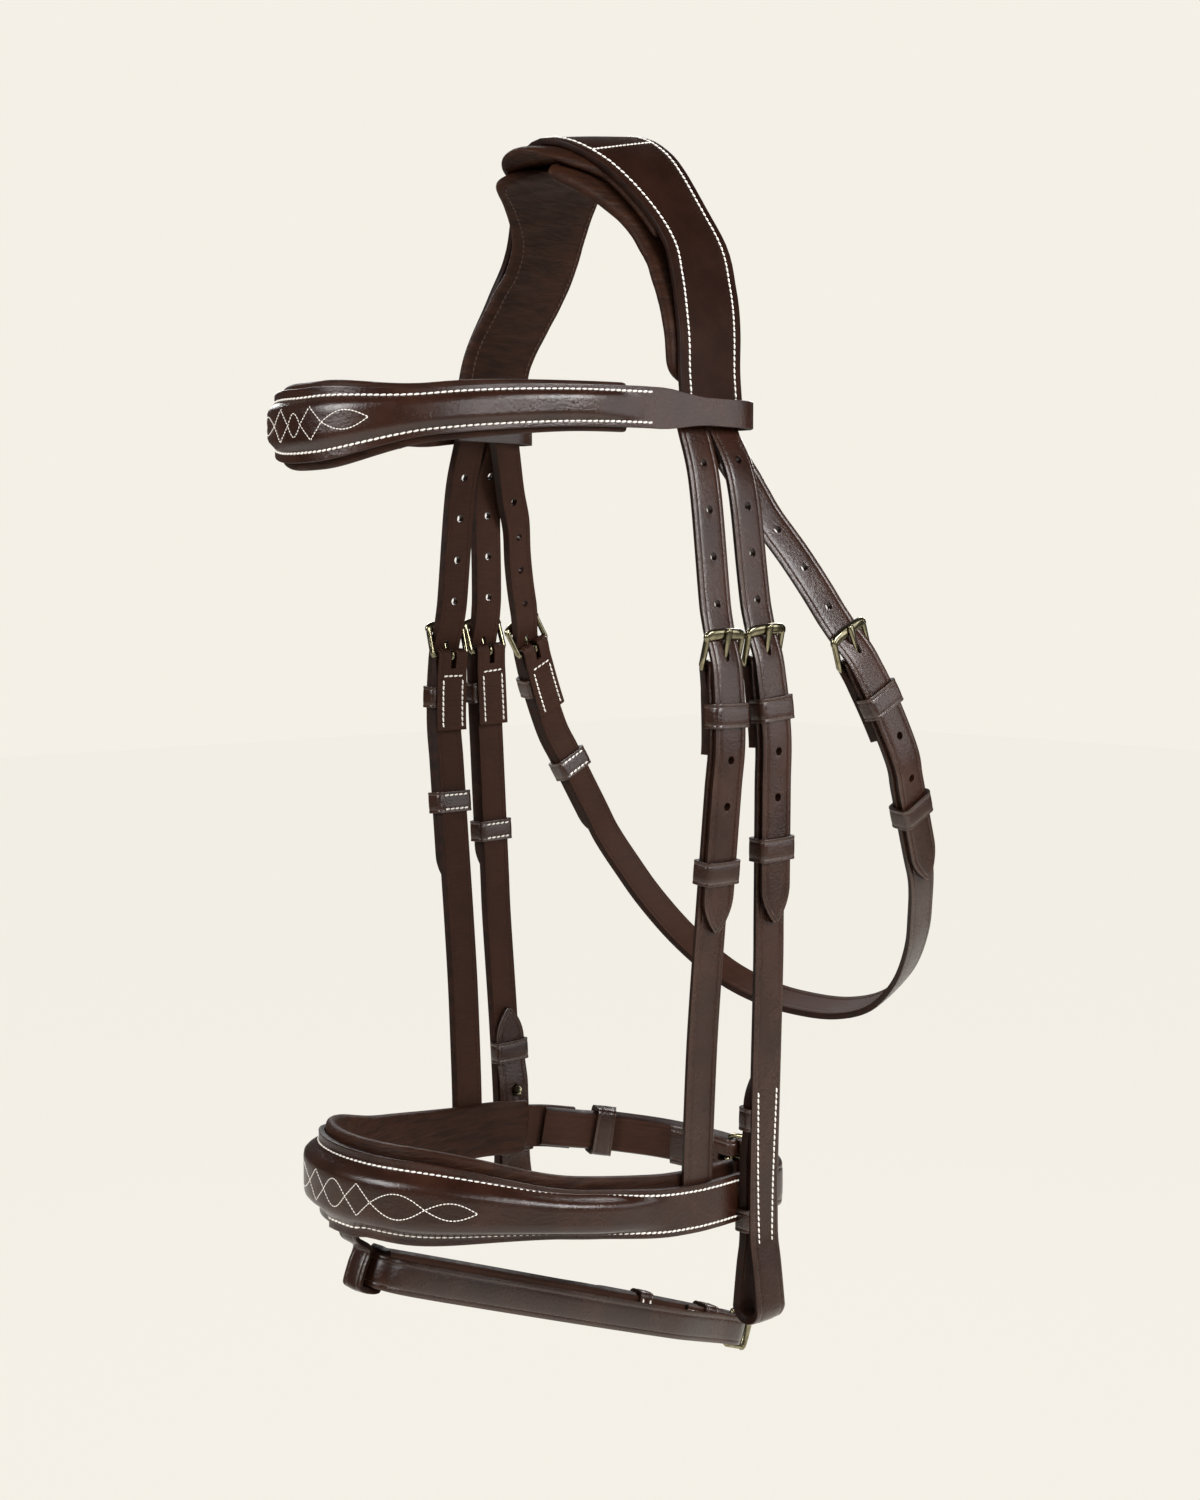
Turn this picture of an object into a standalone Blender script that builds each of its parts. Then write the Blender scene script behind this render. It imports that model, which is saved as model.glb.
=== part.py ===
"""Jumping bridle with a shaped crown, padded browband, flash noseband and hook-stud bit billets.

The horse faces -Y, its left side is +X and +Z is up. The origin is the middle of the crown's underside,
where the bridle rests on the poll. Metres throughout. Lists whose names end in shares are fractions of
the sizes they are multiplied by. Each strap follows a spine: s runs along it, n points outwards.
"""

import math

import bmesh
import bpy
from mathutils import Matrix, Vector

# Overall places, measured down from the poll or out from the middle
HEAD_HALF_WIDTH = 0.0900
BROW_DROP = 0.1160
BUCKLE_DROP = 0.2190
NOSE_BUCKLE_DROP = 0.2208
NOSEBAND_DROP = 0.4500
BIT_DROP = 0.5070
BROW_FRONT = 0.1450
NOSE_FRONT = 0.1290
NOSE_HALF_WIDTH = 0.0808
NOSE_REAR = 0.0950
REAR_STRAP_WIDTH = 0.0180
REAR_BUCKLE_OFFSET = 0.0050
REAR_TAIL_LENGTH = 0.0800
REAR_KEEPER_REACH = 0.0720
REAR_KEEPER_SLACK = 0.0009
REAR_SETTLE_LENGTH = 0.0130

# Leather and clearances
STRAP_WIDTH = 0.0160
STRAP_THICKNESS = 0.0030
HOLE_PITCH = 0.0195
HOLE_DIAMETER = 0.0036
CLEARANCE = 0.0003
LAYER = STRAP_THICKNESS + CLEARANCE

# Crown
CROWN_HALF_WIDTH = 0.0760
CROWN_LEATHER_THICKNESS = 0.0030
CROWN_PADDING_THICKNESS = 0.0040
SIDE_PAD_THICKNESS = 0.0050
CROWN_TOP_WIDTH = 0.0540
CROWN_SIDE_WIDTH = 0.0340
CROWN_PADDING_TOP_WIDTH = 0.0750
SIDE_PAD_WIDTH = 0.0390
SIDE_PAD_TOP_WIDTH = 0.0600
CROWN_SET_BACK = 0.0190
POLL_TILT = 0.1400

# Browband
BROW_LEATHER_THICKNESS = 0.0026
BROW_SIDE_HEIGHT = 0.0165
BROW_MIDDLE_HEIGHT = 0.0180
BROW_FRONT_HEIGHT = 0.0290
BROW_PADDING_THICKNESS = 0.0045
BROW_PADDING_SIDE_HEIGHT = 0.0200
BROW_PADDING_FRONT_HEIGHT = 0.0350
BROW_BULGE = 0.0021
BROW_CORE_THICKNESS = 0.0019
BROW_FRONT_DIP = 0.0085
BROW_HALF_WIDTH = 0.0812
BROW_LOOP_HEIGHT = 0.0115

# Noseband
NOSE_LEATHER_THICKNESS = 0.0026
NOSE_SIDE_HEIGHT = 0.0205
NOSE_FRONT_HEIGHT = 0.0350
NOSE_PADDING_THICKNESS = 0.0050
NOSE_PADDING_MARGIN = 0.0060
NOSE_PADDING_LIFT = 0.0014
NOSE_CORE_THICKNESS = 0.0026
NOSE_BULGE = 0.0032
NOSE_FRONT_LIFT = 0.0150
NOSE_REAR_DROP = 0.0130
NOSE_STRAP_CUT = 0.0010

# Buckles
BUCKLE_WIRE = 0.0013
BUCKLE_WINDOW = 0.0100
BUCKLE_SIDE_CLEARANCE = 0.0008
BUCKLE_RISE = 0.0046
BUCKLE_CORNER = 0.0030
PRONG_WIRE = 0.0008
PRONG_HOLE_RADIUS = 0.0016
PRONG_SLOT_WIDTH = 0.0032

# Straps, strap ends and keepers
NOSE_BACK = -0.0010
CHEEK_BACK = 0.0320
TAIL_LENGTH = 0.1100
TURN_BACK_LENGTH = 0.0360
TIP_LENGTH = 0.0110
UPPER_KEEPER_DROP = 0.0200
KEEPER_WIDTH = 0.0100
KEEPER_THICKNESS = 0.0018
NOSE_KEEPER_DROP_LEFT = 0.0850
NOSE_KEEPER_DROP_RIGHT = 0.0700
CHEEK_KEEPER_DROP_LEFT = 0.0790
CHEEK_KEEPER_DROP_RIGHT = 0.0880
THROAT_KEEPER_DROP_LEFT = 0.0740
THROAT_KEEPER_DROP_RIGHT = 0.0680

# Bit loop, billet and stud
BIT_LOOP_RADIUS = 0.0065
BIT_LOOP_LENGTH = 0.0300
BIT_DROP_MARGIN = 0.0010
BILLET_LENGTH = 0.1120
STUD_HEIGHT = 0.0720
STUD_DISC_RADIUS = 0.0040
STUD_DISC_THICKNESS = 0.0010
STUD_POST_RADIUS = 0.0013
STUD_HEAD_RADIUS = 0.0024
STUD_HEAD_LENGTH = 0.0040
STUD_HOLE_RADIUS = 0.0020
BILLET_KEEPER_HIGH = 0.0915
BILLET_KEEPER_LOW = 0.0400

# Throatlash
THROAT_HALF_WIDTH = 0.1130
THROAT_LENGTH = 0.3230
THROAT_SLOPE = 0.5000
THROAT_BACK = 0.0090

# Flash
FLASH_STRAP_WIDTH = 0.0130
FLASH_STRAP_THICKNESS = 0.0026
FLASH_FRONT = 0.1170
FLASH_DROP = 0.4700
FLASH_LENGTH = 0.2480
FLASH_HALF_SPREAD = 0.0160
FLASH_PITCH_DEGREES = 20.3
FLASH_LOOP_WIDTH = 0.0110
FLASH_LOOP_THICKNESS = 0.0024
FLASH_LOOP_PLAY = 0.0018
FLASH_LOOP_TAB_RISE = 0.0060
FLASH_TURN_BACK_LENGTH = 0.0300
FLASH_TAIL_LENGTH = 0.0950
FLASH_KEEPER_WIDTH = 0.0080
FLASH_KEEPER_DROPS = (0.0160, 0.0560)

# Counts, tolerances and shares
BEND_TOLERANCE = 0.00008
EPSILON = 1e-12
STATION_STEPS = 6
TIP_SHARES = (0.0, 0.4, 0.7, 0.9, 1.0)
KEEPER_CORNER_STEPS = 2
KEEPER_CORNER_SHARE = 0.8
PRONG_TURN_STEPS = 7
HOLE_SIDES = 8
WIRE_SEGMENTS = 1
HOLES_ABOVE = 4
HOLES_BELOW = 2
HOLE_START_SHARE = 0.9
HOLE_DEPTH_SHARE = 1.5
PRONG_DEPTH_SHARE = 3.4
PRONG_STRETCH_SHARE = 1.5
PRONG_HOLE_SHARE = 0.46
TURN_BACK_SHARE = 0.45
STUD_SLOT_SHARE = 1.6
STUD_HEAD_SHARES = ((0.8, 0.05), (1.0, 0.25), (0.95, 0.7), (0.6, 0.95), (0.0, 1.0))
STUD_STEPS = 12
MERGE_DISTANCE = 0.00001

# Colours and finishes
LEATHER_BROWN = (0.036, 0.016, 0.011, 1.0)
LINING_BROWN = (0.030, 0.013, 0.009, 1.0)
BUCKLE_METAL = (0.50, 0.48, 0.42, 1.0)
CORE_GREY = (0.10, 0.09, 0.08, 1.0)


# Scene and materials
def clear_scene():
    for old in list(bpy.data.objects):
        bpy.data.objects.remove(old, do_unlink=True)


def make_collection(name, hidden):
    collection = bpy.data.collections.new(name)
    bpy.context.scene.collection.children.link(collection)
    collection.hide_render = hidden
    return collection


def make_material(name, colour, roughness, metallic):
    material = bpy.data.materials.new(name)
    material.use_nodes = True
    shader = material.node_tree.nodes["Principled BSDF"]
    shader.inputs["Base Color"].default_value = colour
    shader.inputs["Roughness"].default_value = roughness
    shader.inputs["Metallic"].default_value = metallic
    return material


clear_scene()
PARTS = make_collection("jumping_bridle", False)
CUTTERS = make_collection("cutters", True)
LEATHER = make_material("bridle_leather", LEATHER_BROWN, 0.42, 0.0)
LINING = make_material("lining_leather", LINING_BROWN, 0.60, 0.0)
METAL = make_material("buckle_metal", BUCKLE_METAL, 0.28, 1.0)
CORE = make_material("core_felt", CORE_GREY, 0.90, 0.0)


# Curves and frames
def catmull(points, steps):
    """A smooth curve through the points, with this many steps a span."""
    ends = [points[0] * 2 - points[1]] + list(points) + [points[-1] * 2 - points[-2]]
    curve = []
    for i in range(1, len(ends) - 2):
        before, start, stop, after = ends[i - 1 : i + 3]
        for step in range(steps):
            t = step / steps
            curve.append(
                0.5
                * (
                    start * 2
                    + (stop - before) * t
                    + (before * 2 - start * 5 + stop * 4 - after) * t * t
                    + (start * 3 - before - stop * 3 + after) * t * t * t
                )
            )
    curve.append(points[-1].copy())
    return curve


def blend(start, stop, share):
    return start + (stop - start) * share


def ease(share):
    """Goes from 0 to 1 with no corner at either end."""
    share = min(1.0, max(0.0, share))
    return share * share * (3.0 - 2.0 * share)


class Spine:
    """A smooth line with a frame: t along it, w across the strap, n outwards."""

    def __init__(self, points, across, steps=12):
        self.points = catmull([Vector(p) for p in points], steps)
        self.across = Vector(across).normalized()
        self.lengths = [0.0]
        for a, b in zip(self.points, self.points[1:]):
            self.lengths.append(self.lengths[-1] + (b - a).length)
        self.length = self.lengths[-1]

    def position(self, s):
        """The point at length s, carried on in a straight line past either end."""
        last = len(self.points) - 2
        i = 0
        while i < last and self.lengths[i + 1] < s:
            i += 1
        span = self.lengths[i + 1] - self.lengths[i]
        share = (s - self.lengths[i]) / span
        return blend(self.points[i], self.points[i + 1], share)

    def frame(self, s):
        reach = self.length / len(self.points)
        t = (self.position(s + reach) - self.position(s - reach)).normalized()
        w = (self.across - t * self.across.dot(t)).normalized()
        return t, w, t.cross(w)

    def place(self, s, n, side=1, w=0.0):
        _, across, out = self.frame(s)
        point = self.position(s) + out * n + across * w
        return Vector((point.x * side, point.y, point.z))


def mirrored(vector, side):
    return Vector((vector.x * side, vector.y, vector.z))


# Solids
def add_object(name, data, material, collection=PARTS):
    obj = bpy.data.objects.new(name, data)
    collection.objects.link(obj)
    data.materials.append(material)
    return obj


def add_solidify(obj, thickness, offset=0.0):
    wall = obj.modifiers.new("thickness", "SOLIDIFY")
    wall.thickness = thickness
    wall.offset = offset
    wall.use_even_offset = True
    return wall


def add_bevel(obj, width, segments=1, angle=math.radians(50)):
    edge = obj.modifiers.new("edges", "BEVEL")
    edge.width = width
    edge.segments = segments
    edge.limit_method = "ANGLE"
    edge.angle_limit = angle
    return edge


def sheet(name, rows, thickness, material, bevel=0.0, offset=0.0, segments=1):
    """A solid sheet whose middle or face is a grid of rows of points."""
    mesh = bpy.data.meshes.new(name)
    grid = bmesh.new()
    across, along = len(rows[0]), len(rows)
    bmesh.ops.create_grid(grid, x_segments=across - 1, y_segments=along - 1, size=1.0)
    grid.verts.ensure_lookup_table()
    for i, vertex in enumerate(grid.verts):
        vertex.co = rows[i // across][i % across]
    grid.to_mesh(mesh)
    grid.free()
    mesh.shade_smooth()
    mesh.set_sharp_from_angle(angle=math.radians(40))
    obj = add_object(name, mesh, material)
    add_solidify(obj, thickness, offset)
    if bevel:
        add_bevel(obj, bevel, segments)
    return obj


def tip_share(distance):
    """A strap end's half width as a share, at this distance from its tip."""
    share = min(1.0, max(0.0, distance / TIP_LENGTH))
    return 0.30 + 0.70 * math.sin(share * math.pi / 2)


def stations(spine, path, steps):
    """Rows of (s, n) read from a smooth curve through the path's points."""
    curve = catmull([Vector((s, n, 0.0)) for s, n in path], steps)
    return [(point.x, point.y) for point in curve]


def thin(points, tolerance=BEND_TOLERANCE):
    """Indices of the fewest points that keep straight lines between them this near the curve."""
    kept = {0, len(points) - 1}
    spans = [(0, len(points) - 1)]
    while spans:
        start, stop = spans.pop()
        line = points[stop] - points[start]
        worst, found = tolerance, None
        for i in range(start + 1, stop):
            off = points[i] - points[start]
            away = (off - line * (off.dot(line) / max(line.length_squared, EPSILON))).length
            if away > worst:
                worst, found = away, i
        if found:
            kept.add(found)
            spans += [(start, found), (found, stop)]
    return sorted(kept)


def end_rows(centres, acrosses, half, tip):
    """Rows across a strap at its centres, with a rounded point at the last end where tip is set."""
    lengths = [0.0]
    for a, b in zip(centres, centres[1:]):
        lengths.append(lengths[-1] + (b - a).length)
    marks = list(lengths)
    if tip:
        first = lengths[-1] - TIP_LENGTH
        marks = [x for x in lengths if x < first] + [first + TIP_LENGTH * share for share in TIP_SHARES]
    rows = []
    for mark in marks:
        i = next((k for k in range(len(lengths) - 2) if lengths[k + 1] >= mark), len(lengths) - 2)
        share = (mark - lengths[i]) / (lengths[i + 1] - lengths[i])
        centre = blend(centres[i], centres[i + 1], share)
        across = blend(acrosses[i], acrosses[i + 1], share) * half
        if tip:
            across = across * tip_share(lengths[-1] - mark)
        rows.append([centre - across, centre + across])
    return rows


def strap(name, spine, path, side, material=LEATHER, tip=False, width=STRAP_WIDTH):
    """A flat strap along (s, n) stations of its spine."""
    run = stations(spine, path, STATION_STEPS)
    centres = [spine.place(s, n, side) for s, n in run]
    acrosses = [spine.place(s, n, side, 1.0) - spine.place(s, n, side) for s, n in run]
    kept = thin(centres)
    rows = end_rows([centres[i] for i in kept], [acrosses[i] for i in kept], width / 2, tip)
    return sheet(name, rows, STRAP_THICKNESS, material)


def ribbon(name, points, across, width, thickness, material=LEATHER, tip=False):
    """A flat strap through points in space, the same way across all along."""
    centres = catmull([Vector(p) for p in points], STATION_STEPS)
    kept = thin(centres)
    rows = end_rows([centres[i] for i in kept], [Vector(across).normalized()] * len(kept), width / 2, tip)
    return sheet(name, rows, thickness, material)


def make_cutter(name, mesh):
    cutter = bpy.data.objects.new(name, mesh)
    CUTTERS.objects.link(cutter)
    cutter.hide_render = True
    cutter.display_type = "WIRE"
    return cutter


def cut(obj, cutter):
    boolean = obj.modifiers.new("cut", "BOOLEAN")
    boolean.object = cutter
    boolean.operation = "DIFFERENCE"
    boolean.solver = "EXACT"


def orient(vectors, origin):
    """Points of a unit tool along its own axes, moved to a place with these axes."""
    x_axis, y_axis, z_axis = vectors
    return lambda co: origin + x_axis * co.x + y_axis * co.y + z_axis * co.z


def hole_cutter(name, spine, places, radius, side, depth, stretch=1.0, slant=None):
    """Round or stretched pins through a strap, one at each (s, n)."""
    tool = bmesh.new()
    for s, n in places:
        t, w, out = spine.frame(s)
        if slant:
            along = (t * slant[0] + out * slant[1]).normalized()
            t = (out * slant[0] - t * slant[1]).normalized()
            out = along
        pin = bmesh.ops.create_cone(
            tool,
            cap_ends=True,
            segments=HOLE_SIDES,
            radius1=radius,
            radius2=radius,
            depth=depth,
        )
        axes = (mirrored(t, side) * stretch, mirrored(w, side), mirrored(out, side))
        move = orient(axes, spine.place(s, n, side))
        for vertex in pin["verts"]:
            vertex.co = move(vertex.co)
    tool.normal_update()
    bmesh.ops.recalc_face_normals(tool, faces=tool.faces)
    mesh = bpy.data.meshes.new(name)
    tool.to_mesh(mesh)
    tool.free()
    return make_cutter(name, mesh)


def block_cutter(name, spine, s_range, n_range, width, side):
    tool = bmesh.new()
    block = bmesh.ops.create_cube(tool, size=1.0)
    for vertex in block["verts"]:
        s = blend(s_range[0], s_range[1], vertex.co.x + 0.5)
        n = blend(n_range[0], n_range[1], vertex.co.z + 0.5)
        vertex.co = spine.place(s, n, side, vertex.co.y * width)
    tool.normal_update()
    bmesh.ops.recalc_face_normals(tool, faces=tool.faces)
    mesh = bpy.data.meshes.new(name)
    tool.to_mesh(mesh)
    tool.free()
    return make_cutter(name, mesh)


def wire(name, points, radius, closed=False, resolution=WIRE_SEGMENTS):
    curve = bpy.data.curves.new(name, "CURVE")
    curve.dimensions = "3D"
    curve.bevel_depth = radius
    curve.bevel_resolution = resolution
    curve.use_fill_caps = not closed
    line = curve.splines.new("POLY")
    line.points.add(len(points) - 1)
    for target, point in zip(line.points, points):
        target.co = (*point, 1.0)
    line.use_cyclic_u = closed
    return add_object(name, curve, METAL)


def keeper(name, spine, s, n_range, side, strap_width=STRAP_WIDTH, width=KEEPER_WIDTH, slack=CLEARANCE):
    """A leather band round a stack of straps that fills n_range."""
    half_w = strap_width / 2 + slack
    low, high = n_range[0] - slack, n_range[1] + slack
    half_n = (high - low) / 2
    radius = slack * KEEPER_CORNER_SHARE
    outline = []
    for corner in range(4):
        centre_w = (half_w - radius) * (1 if corner in (0, 3) else -1)
        centre_n = (half_n - radius) * (1 if corner in (0, 1) else -1)
        for step in range(KEEPER_CORNER_STEPS):
            turn = (corner + step / (KEEPER_CORNER_STEPS - 1)) * math.pi / 2
            outline.append((centre_w + radius * math.cos(turn), centre_n + radius * math.sin(turn)))
    tube = bmesh.new()
    band = bmesh.ops.create_cone(
        tube, cap_ends=False, segments=len(outline), radius1=1.0, radius2=1.0, depth=2.0
    )
    reach = width / 2
    for vertex in band["verts"]:
        turn = math.atan2(vertex.co.y, vertex.co.x) / (2 * math.pi) * len(outline)
        w, n = outline[round(turn) % len(outline)]
        vertex.co = spine.place(s + reach * round(vertex.co.z), (low + high) / 2 + n, side, w)
    tube.normal_update()
    bmesh.ops.recalc_face_normals(tube, faces=tube.faces)
    mesh = bpy.data.meshes.new(name)
    tube.to_mesh(mesh)
    tube.free()
    mesh.shade_smooth()
    mesh.set_sharp_from_angle(angle=math.radians(40))
    obj = add_object(name, mesh, LEATHER)
    add_solidify(obj, KEEPER_THICKNESS, offset_outwards(mesh))
    set_origin(obj, spine.place(s, (low + high) / 2, side))
    return obj


def offset_outwards(mesh):
    """Solidify's offset that keeps the band's own faces as its bore."""
    centre = sum((v.co for v in mesh.vertices), Vector()) / len(mesh.vertices)
    face = mesh.polygons[0]
    return 1.0 if face.normal.dot(face.center - centre) > 0 else -1.0


def set_origin(obj, point):
    """Moves the object's origin to the point and leaves its shape where it is."""
    obj.data.transform(Matrix.Translation(obj.location - point))
    obj.location = point


# Buckles
class BuckleSizes:
    """The sizes that follow from a strap's width and thickness."""

    def __init__(self, width, thickness, rise):
        self.width = width
        self.thickness = thickness
        self.half = width / 2 + BUCKLE_SIDE_CLEARANCE + BUCKLE_WIRE
        self.fold = BUCKLE_WIRE + CLEARANCE + thickness / 2
        self.ply = thickness / 2 + CLEARANCE / 2
        self.reach = BUCKLE_WINDOW + 2 * BUCKLE_WIRE
        self.rise = rise
        self.over = self.fold + thickness + 2 * CLEARANCE
        self.tail = self.ply + thickness + CLEARANCE
        self.prong = BUCKLE_WIRE + CLEARANCE + PRONG_WIRE
        self.rest = rise + BUCKLE_WIRE + CLEARANCE + PRONG_WIRE


STRAP_BUCKLE = BuckleSizes(STRAP_WIDTH, STRAP_THICKNESS, BUCKLE_RISE)
FLASH_BUCKLE = BuckleSizes(FLASH_STRAP_WIDTH, FLASH_STRAP_THICKNESS, 0.0)


def buckle_frame(name, spine, s_bar, size, side):
    """A rounded rectangle of wire, its bar at s_bar and its far side lifted by the rise."""
    lift = size.rise / size.reach
    points = [spine.place(s_bar - r, r * lift, side, w) for w, r in frame_outline(size)]
    return wire(name, points, BUCKLE_WIRE, closed=True)


def frame_outline(size):
    """(w, r) round the frame: r is the distance from the bar."""
    half, reach, corner = size.half, size.reach, BUCKLE_CORNER
    points = [(half - BUCKLE_WIRE, 0.0), (-half + BUCKLE_WIRE, 0.0), (-half, BUCKLE_WIRE)]
    for step in range(4):
        turn = step / 3 * math.pi / 2
        points.append((-half + corner * (1 - math.cos(turn)), reach - corner * (1 - math.sin(turn))))
    for step in range(4):
        turn = (3 - step) / 3 * math.pi / 2
        points.append((half - corner * (1 - math.cos(turn)), reach - corner * (1 - math.sin(turn))))
    points.append((half, BUCKLE_WIRE))
    return points


def prong(name, spine, s_bar, size, side):
    """Bent wire: most of a turn round the bar, then straight out to rest on the frame's far side."""
    slope = math.atan2(size.rest - size.prong, size.reach)
    points = []
    for step in range(PRONG_TURN_STEPS + 1):
        turn = math.radians(-120) + (math.radians(210) - slope) * step / PRONG_TURN_STEPS
        points.append((size.prong * math.cos(turn), size.prong * math.sin(turn)))
    tip = size.reach + BUCKLE_WIRE * 2
    start_s, start_n = points[-1]
    rest_share = (size.reach + start_s) / (tip + start_s)
    points.append((-tip, start_n + (size.rest - start_n) / rest_share))
    obj = wire(name, [spine.place(s_bar + s, n, side) for s, n in points], PRONG_WIRE)
    set_origin(obj, spine.place(s_bar, 0.0, side))
    return obj


def fold_path(s_bar, size, turn_back, onward):
    """(s, n) of a chape: turned back inside, round the bar and on down the outer ply."""
    path = [(s_bar + turn_back, -size.ply), (s_bar + turn_back * 0.5, -size.ply)]
    path.append((s_bar + size.fold * 3.0, -size.ply))
    path.append((s_bar + size.fold * 1.1, -size.fold * 0.86))
    for step in range(5):
        turn = math.radians(-90 - 45 * step)
        path.append((s_bar + size.fold * math.cos(turn), size.fold * math.sin(turn)))
    path.append((s_bar + size.fold * 1.1, size.fold * 0.86))
    path.append((s_bar + size.fold * 3.0, size.ply))
    for s in onward:
        path.append((s, size.ply))
    return path


def point_path(s_top, s_bar, size, tail):
    """(s, n) of a punched strap: behind the frame's far side, over the bar and down as the tail."""
    reach, over = size.reach, size.over + size.thickness * 0.3
    path = [(s_top, 0.0)]
    count = 5
    for i in range(1, count):
        path.append((blend(s_top, s_bar - reach * 2.0, i / count), 0.0))
    path.append((s_bar - reach * 1.75, 0.0))
    path.append((s_bar - reach * 1.3, size.rise * 0.10))
    path.append((s_bar - reach, size.rise * 0.20))
    path.append((s_bar - reach * 0.5, over * 0.58))
    path.append((s_bar, over))
    path.append((s_bar + reach * 0.5, blend(over, size.tail, 0.55)))
    path.append((s_bar + reach, size.tail))
    for share in (0.3, 0.5, 0.7, 0.88, 1.0):
        path.append((s_bar + tail * share, size.tail))
    return path


def buckle_set(prefix, spine, s_bar, size, side, chape):
    """A frame and a prong, and the slot that the prong swings in, cut in the chape's fold."""
    buckle_frame("buckle_frame_" + prefix, spine, s_bar, size, side)
    prong("buckle_prong_" + prefix, spine, s_bar, size, side)
    reach = size.fold + size.thickness
    across = (s_bar - reach, s_bar + reach)
    cut(chape, block_cutter("slot_" + prefix, spine, across, (-reach, reach), PRONG_SLOT_WIDTH, side))


def cut_strap_holes(name, obj, spine, s_bar, size, side, above, below):
    """Punched holes at the pitch, above and below the one that the prong is in."""
    places = []
    for i in range(above):
        places.append((s_bar - size.reach / 2 - HOLE_PITCH * (i + 1), 0.0))
    for i in range(below):
        places.append((s_bar + UPPER_KEEPER_DROP + HOLE_PITCH * (i + HOLE_START_SHARE), size.tail))
    depth = size.thickness * HOLE_DEPTH_SHARE
    cut(obj, hole_cutter("holes_" + name, spine, places, HOLE_DIAMETER / 2, side, depth))


def cut_prong_hole(name, obj, spine, s_bar, size, side, share=PRONG_HOLE_SHARE):
    """The hole that the prong goes through, cut along the prong."""
    place = (s_bar - size.reach * share, blend(size.prong, size.rest, share))
    slant = (-size.reach, size.rest - size.prong)
    depth = size.thickness * PRONG_DEPTH_SHARE
    stretch = PRONG_STRETCH_SHARE
    tool = hole_cutter("prong_hole_" + name, spine, [place], PRONG_HOLE_RADIUS, side, depth, stretch, slant)
    cut(obj, tool)


# Spines
CROWN_X_SHARES = (0.0, 0.355, 0.680, 0.822, 0.926, 0.966, 1.0)
CROWN_Z_SHARES = (0.0, 0.097, 0.368, 0.544, 0.717, 0.868, 1.0)
CROWN_Y_SHARES = (0.32, 0.62, 1.0, 0.86, 0.60, 0.47, 0.42)
CROWN_TOP = CROWN_PADDING_THICKNESS + CLEARANCE + CROWN_LEATHER_THICKNESS / 2


def crown_points():
    """The whole arch, from the right side over the poll to the left."""
    points = []
    for x, y, z in zip(CROWN_X_SHARES, CROWN_Y_SHARES, CROWN_Z_SHARES):
        drop = CROWN_TOP - (BROW_DROP + CROWN_TOP) * z
        points.append(Vector((CROWN_HALF_WIDTH * x, CROWN_SET_BACK * y, drop)))
    return [mirrored(p, -1) for p in reversed(points[1:])] + points


# Shares of HEAD_HALF_WIDTH and of the drop to the noseband or the bit, above and below a straight run
NOSE_UPPER_SHARES = ((0.890, 0.318), (0.945, 0.400), (0.990, 0.482))
NOSE_RUN_SHARES = ((1.008, 0.556), (0.905, 0.771))
NOSE_LOWER_SHARES = ((0.876, 0.840), (0.858, 0.905), (0.848, 0.950), (0.8445, 0.980), (0.8445, 1.0))
CHEEK_UPPER_SHARES = ((0.930, 0.545, 0.282), (0.972, 0.635, 0.358), (1.006, 0.725, 0.436))
CHEEK_RUN_SHARES = ((1.022, 0.800, 0.493), (0.989, 0.888, 0.690))
CHEEK_LOWER_SHARES = ((0.958, 0.940, 0.790), (0.938, 0.970, 0.870), (0.935, 0.985, 0.930), (0.935, 1.0, 1.0))
CHEEK_TOP_SHARE = 0.500
RUN_STEPS = 5


def run_points(shares):
    """Evenly spaced points on a straight line, so that the curve through them is straight."""
    start, stop = shares
    steps = range(RUN_STEPS + 1)
    return [tuple(blend(a, b, i / RUN_STEPS) for a, b in zip(start, stop)) for i in steps]


def strap_start(back):
    """The top of a strap that leaves the crown, one layer inside the crown leather's lower end."""
    s = CROWN.length
    t, _, out = CROWN.frame(s)
    first = CROWN.position(s) - out * (LAYER + CLEARANCE)
    lift = t * (BROW_SIDE_HEIGHT / 2)
    return [Vector((p.x, back, p.z)) for p in (first - lift, first + lift / 2)]


CROWN = Spine(crown_points(), (0, 1, POLL_TILT), steps=6)


def nose_points():
    points = strap_start(NOSE_BACK)
    for x, z in NOSE_UPPER_SHARES + tuple(run_points(NOSE_RUN_SHARES)) + NOSE_LOWER_SHARES:
        points.append(Vector((HEAD_HALF_WIDTH * x, NOSE_BACK, -NOSEBAND_DROP * z)))
    return points


def cheek_points():
    points = strap_start(CHEEK_BACK * CHEEK_TOP_SHARE)
    for x, y, z in CHEEK_UPPER_SHARES + tuple(run_points(CHEEK_RUN_SHARES)) + CHEEK_LOWER_SHARES:
        points.append(Vector((HEAD_HALF_WIDTH * x, CHEEK_BACK * y, -BIT_DROP * z)))
    return points


THROAT_UPPER_SHARES = (
    (0.592, 0.0),
    (0.598, 0.040),
    (0.686, 0.126),
    (0.727, 0.176),
    (0.800, 0.230),
    (0.862, 0.285),
    (0.900, 0.330),
)
THROAT_MIDDLE_SHARES = ((0.937, 0.385), (0.972, 0.455))
THROAT_RUN_SHARES = ((0.990, 0.530), (0.905, 0.725))
THROAT_LOWER_SHARES = ((0.862, 0.780), (0.775, 0.845), (0.640, 0.910), (0.450, 0.965), (0.230, 0.993), (0.0, 1.0))


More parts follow.
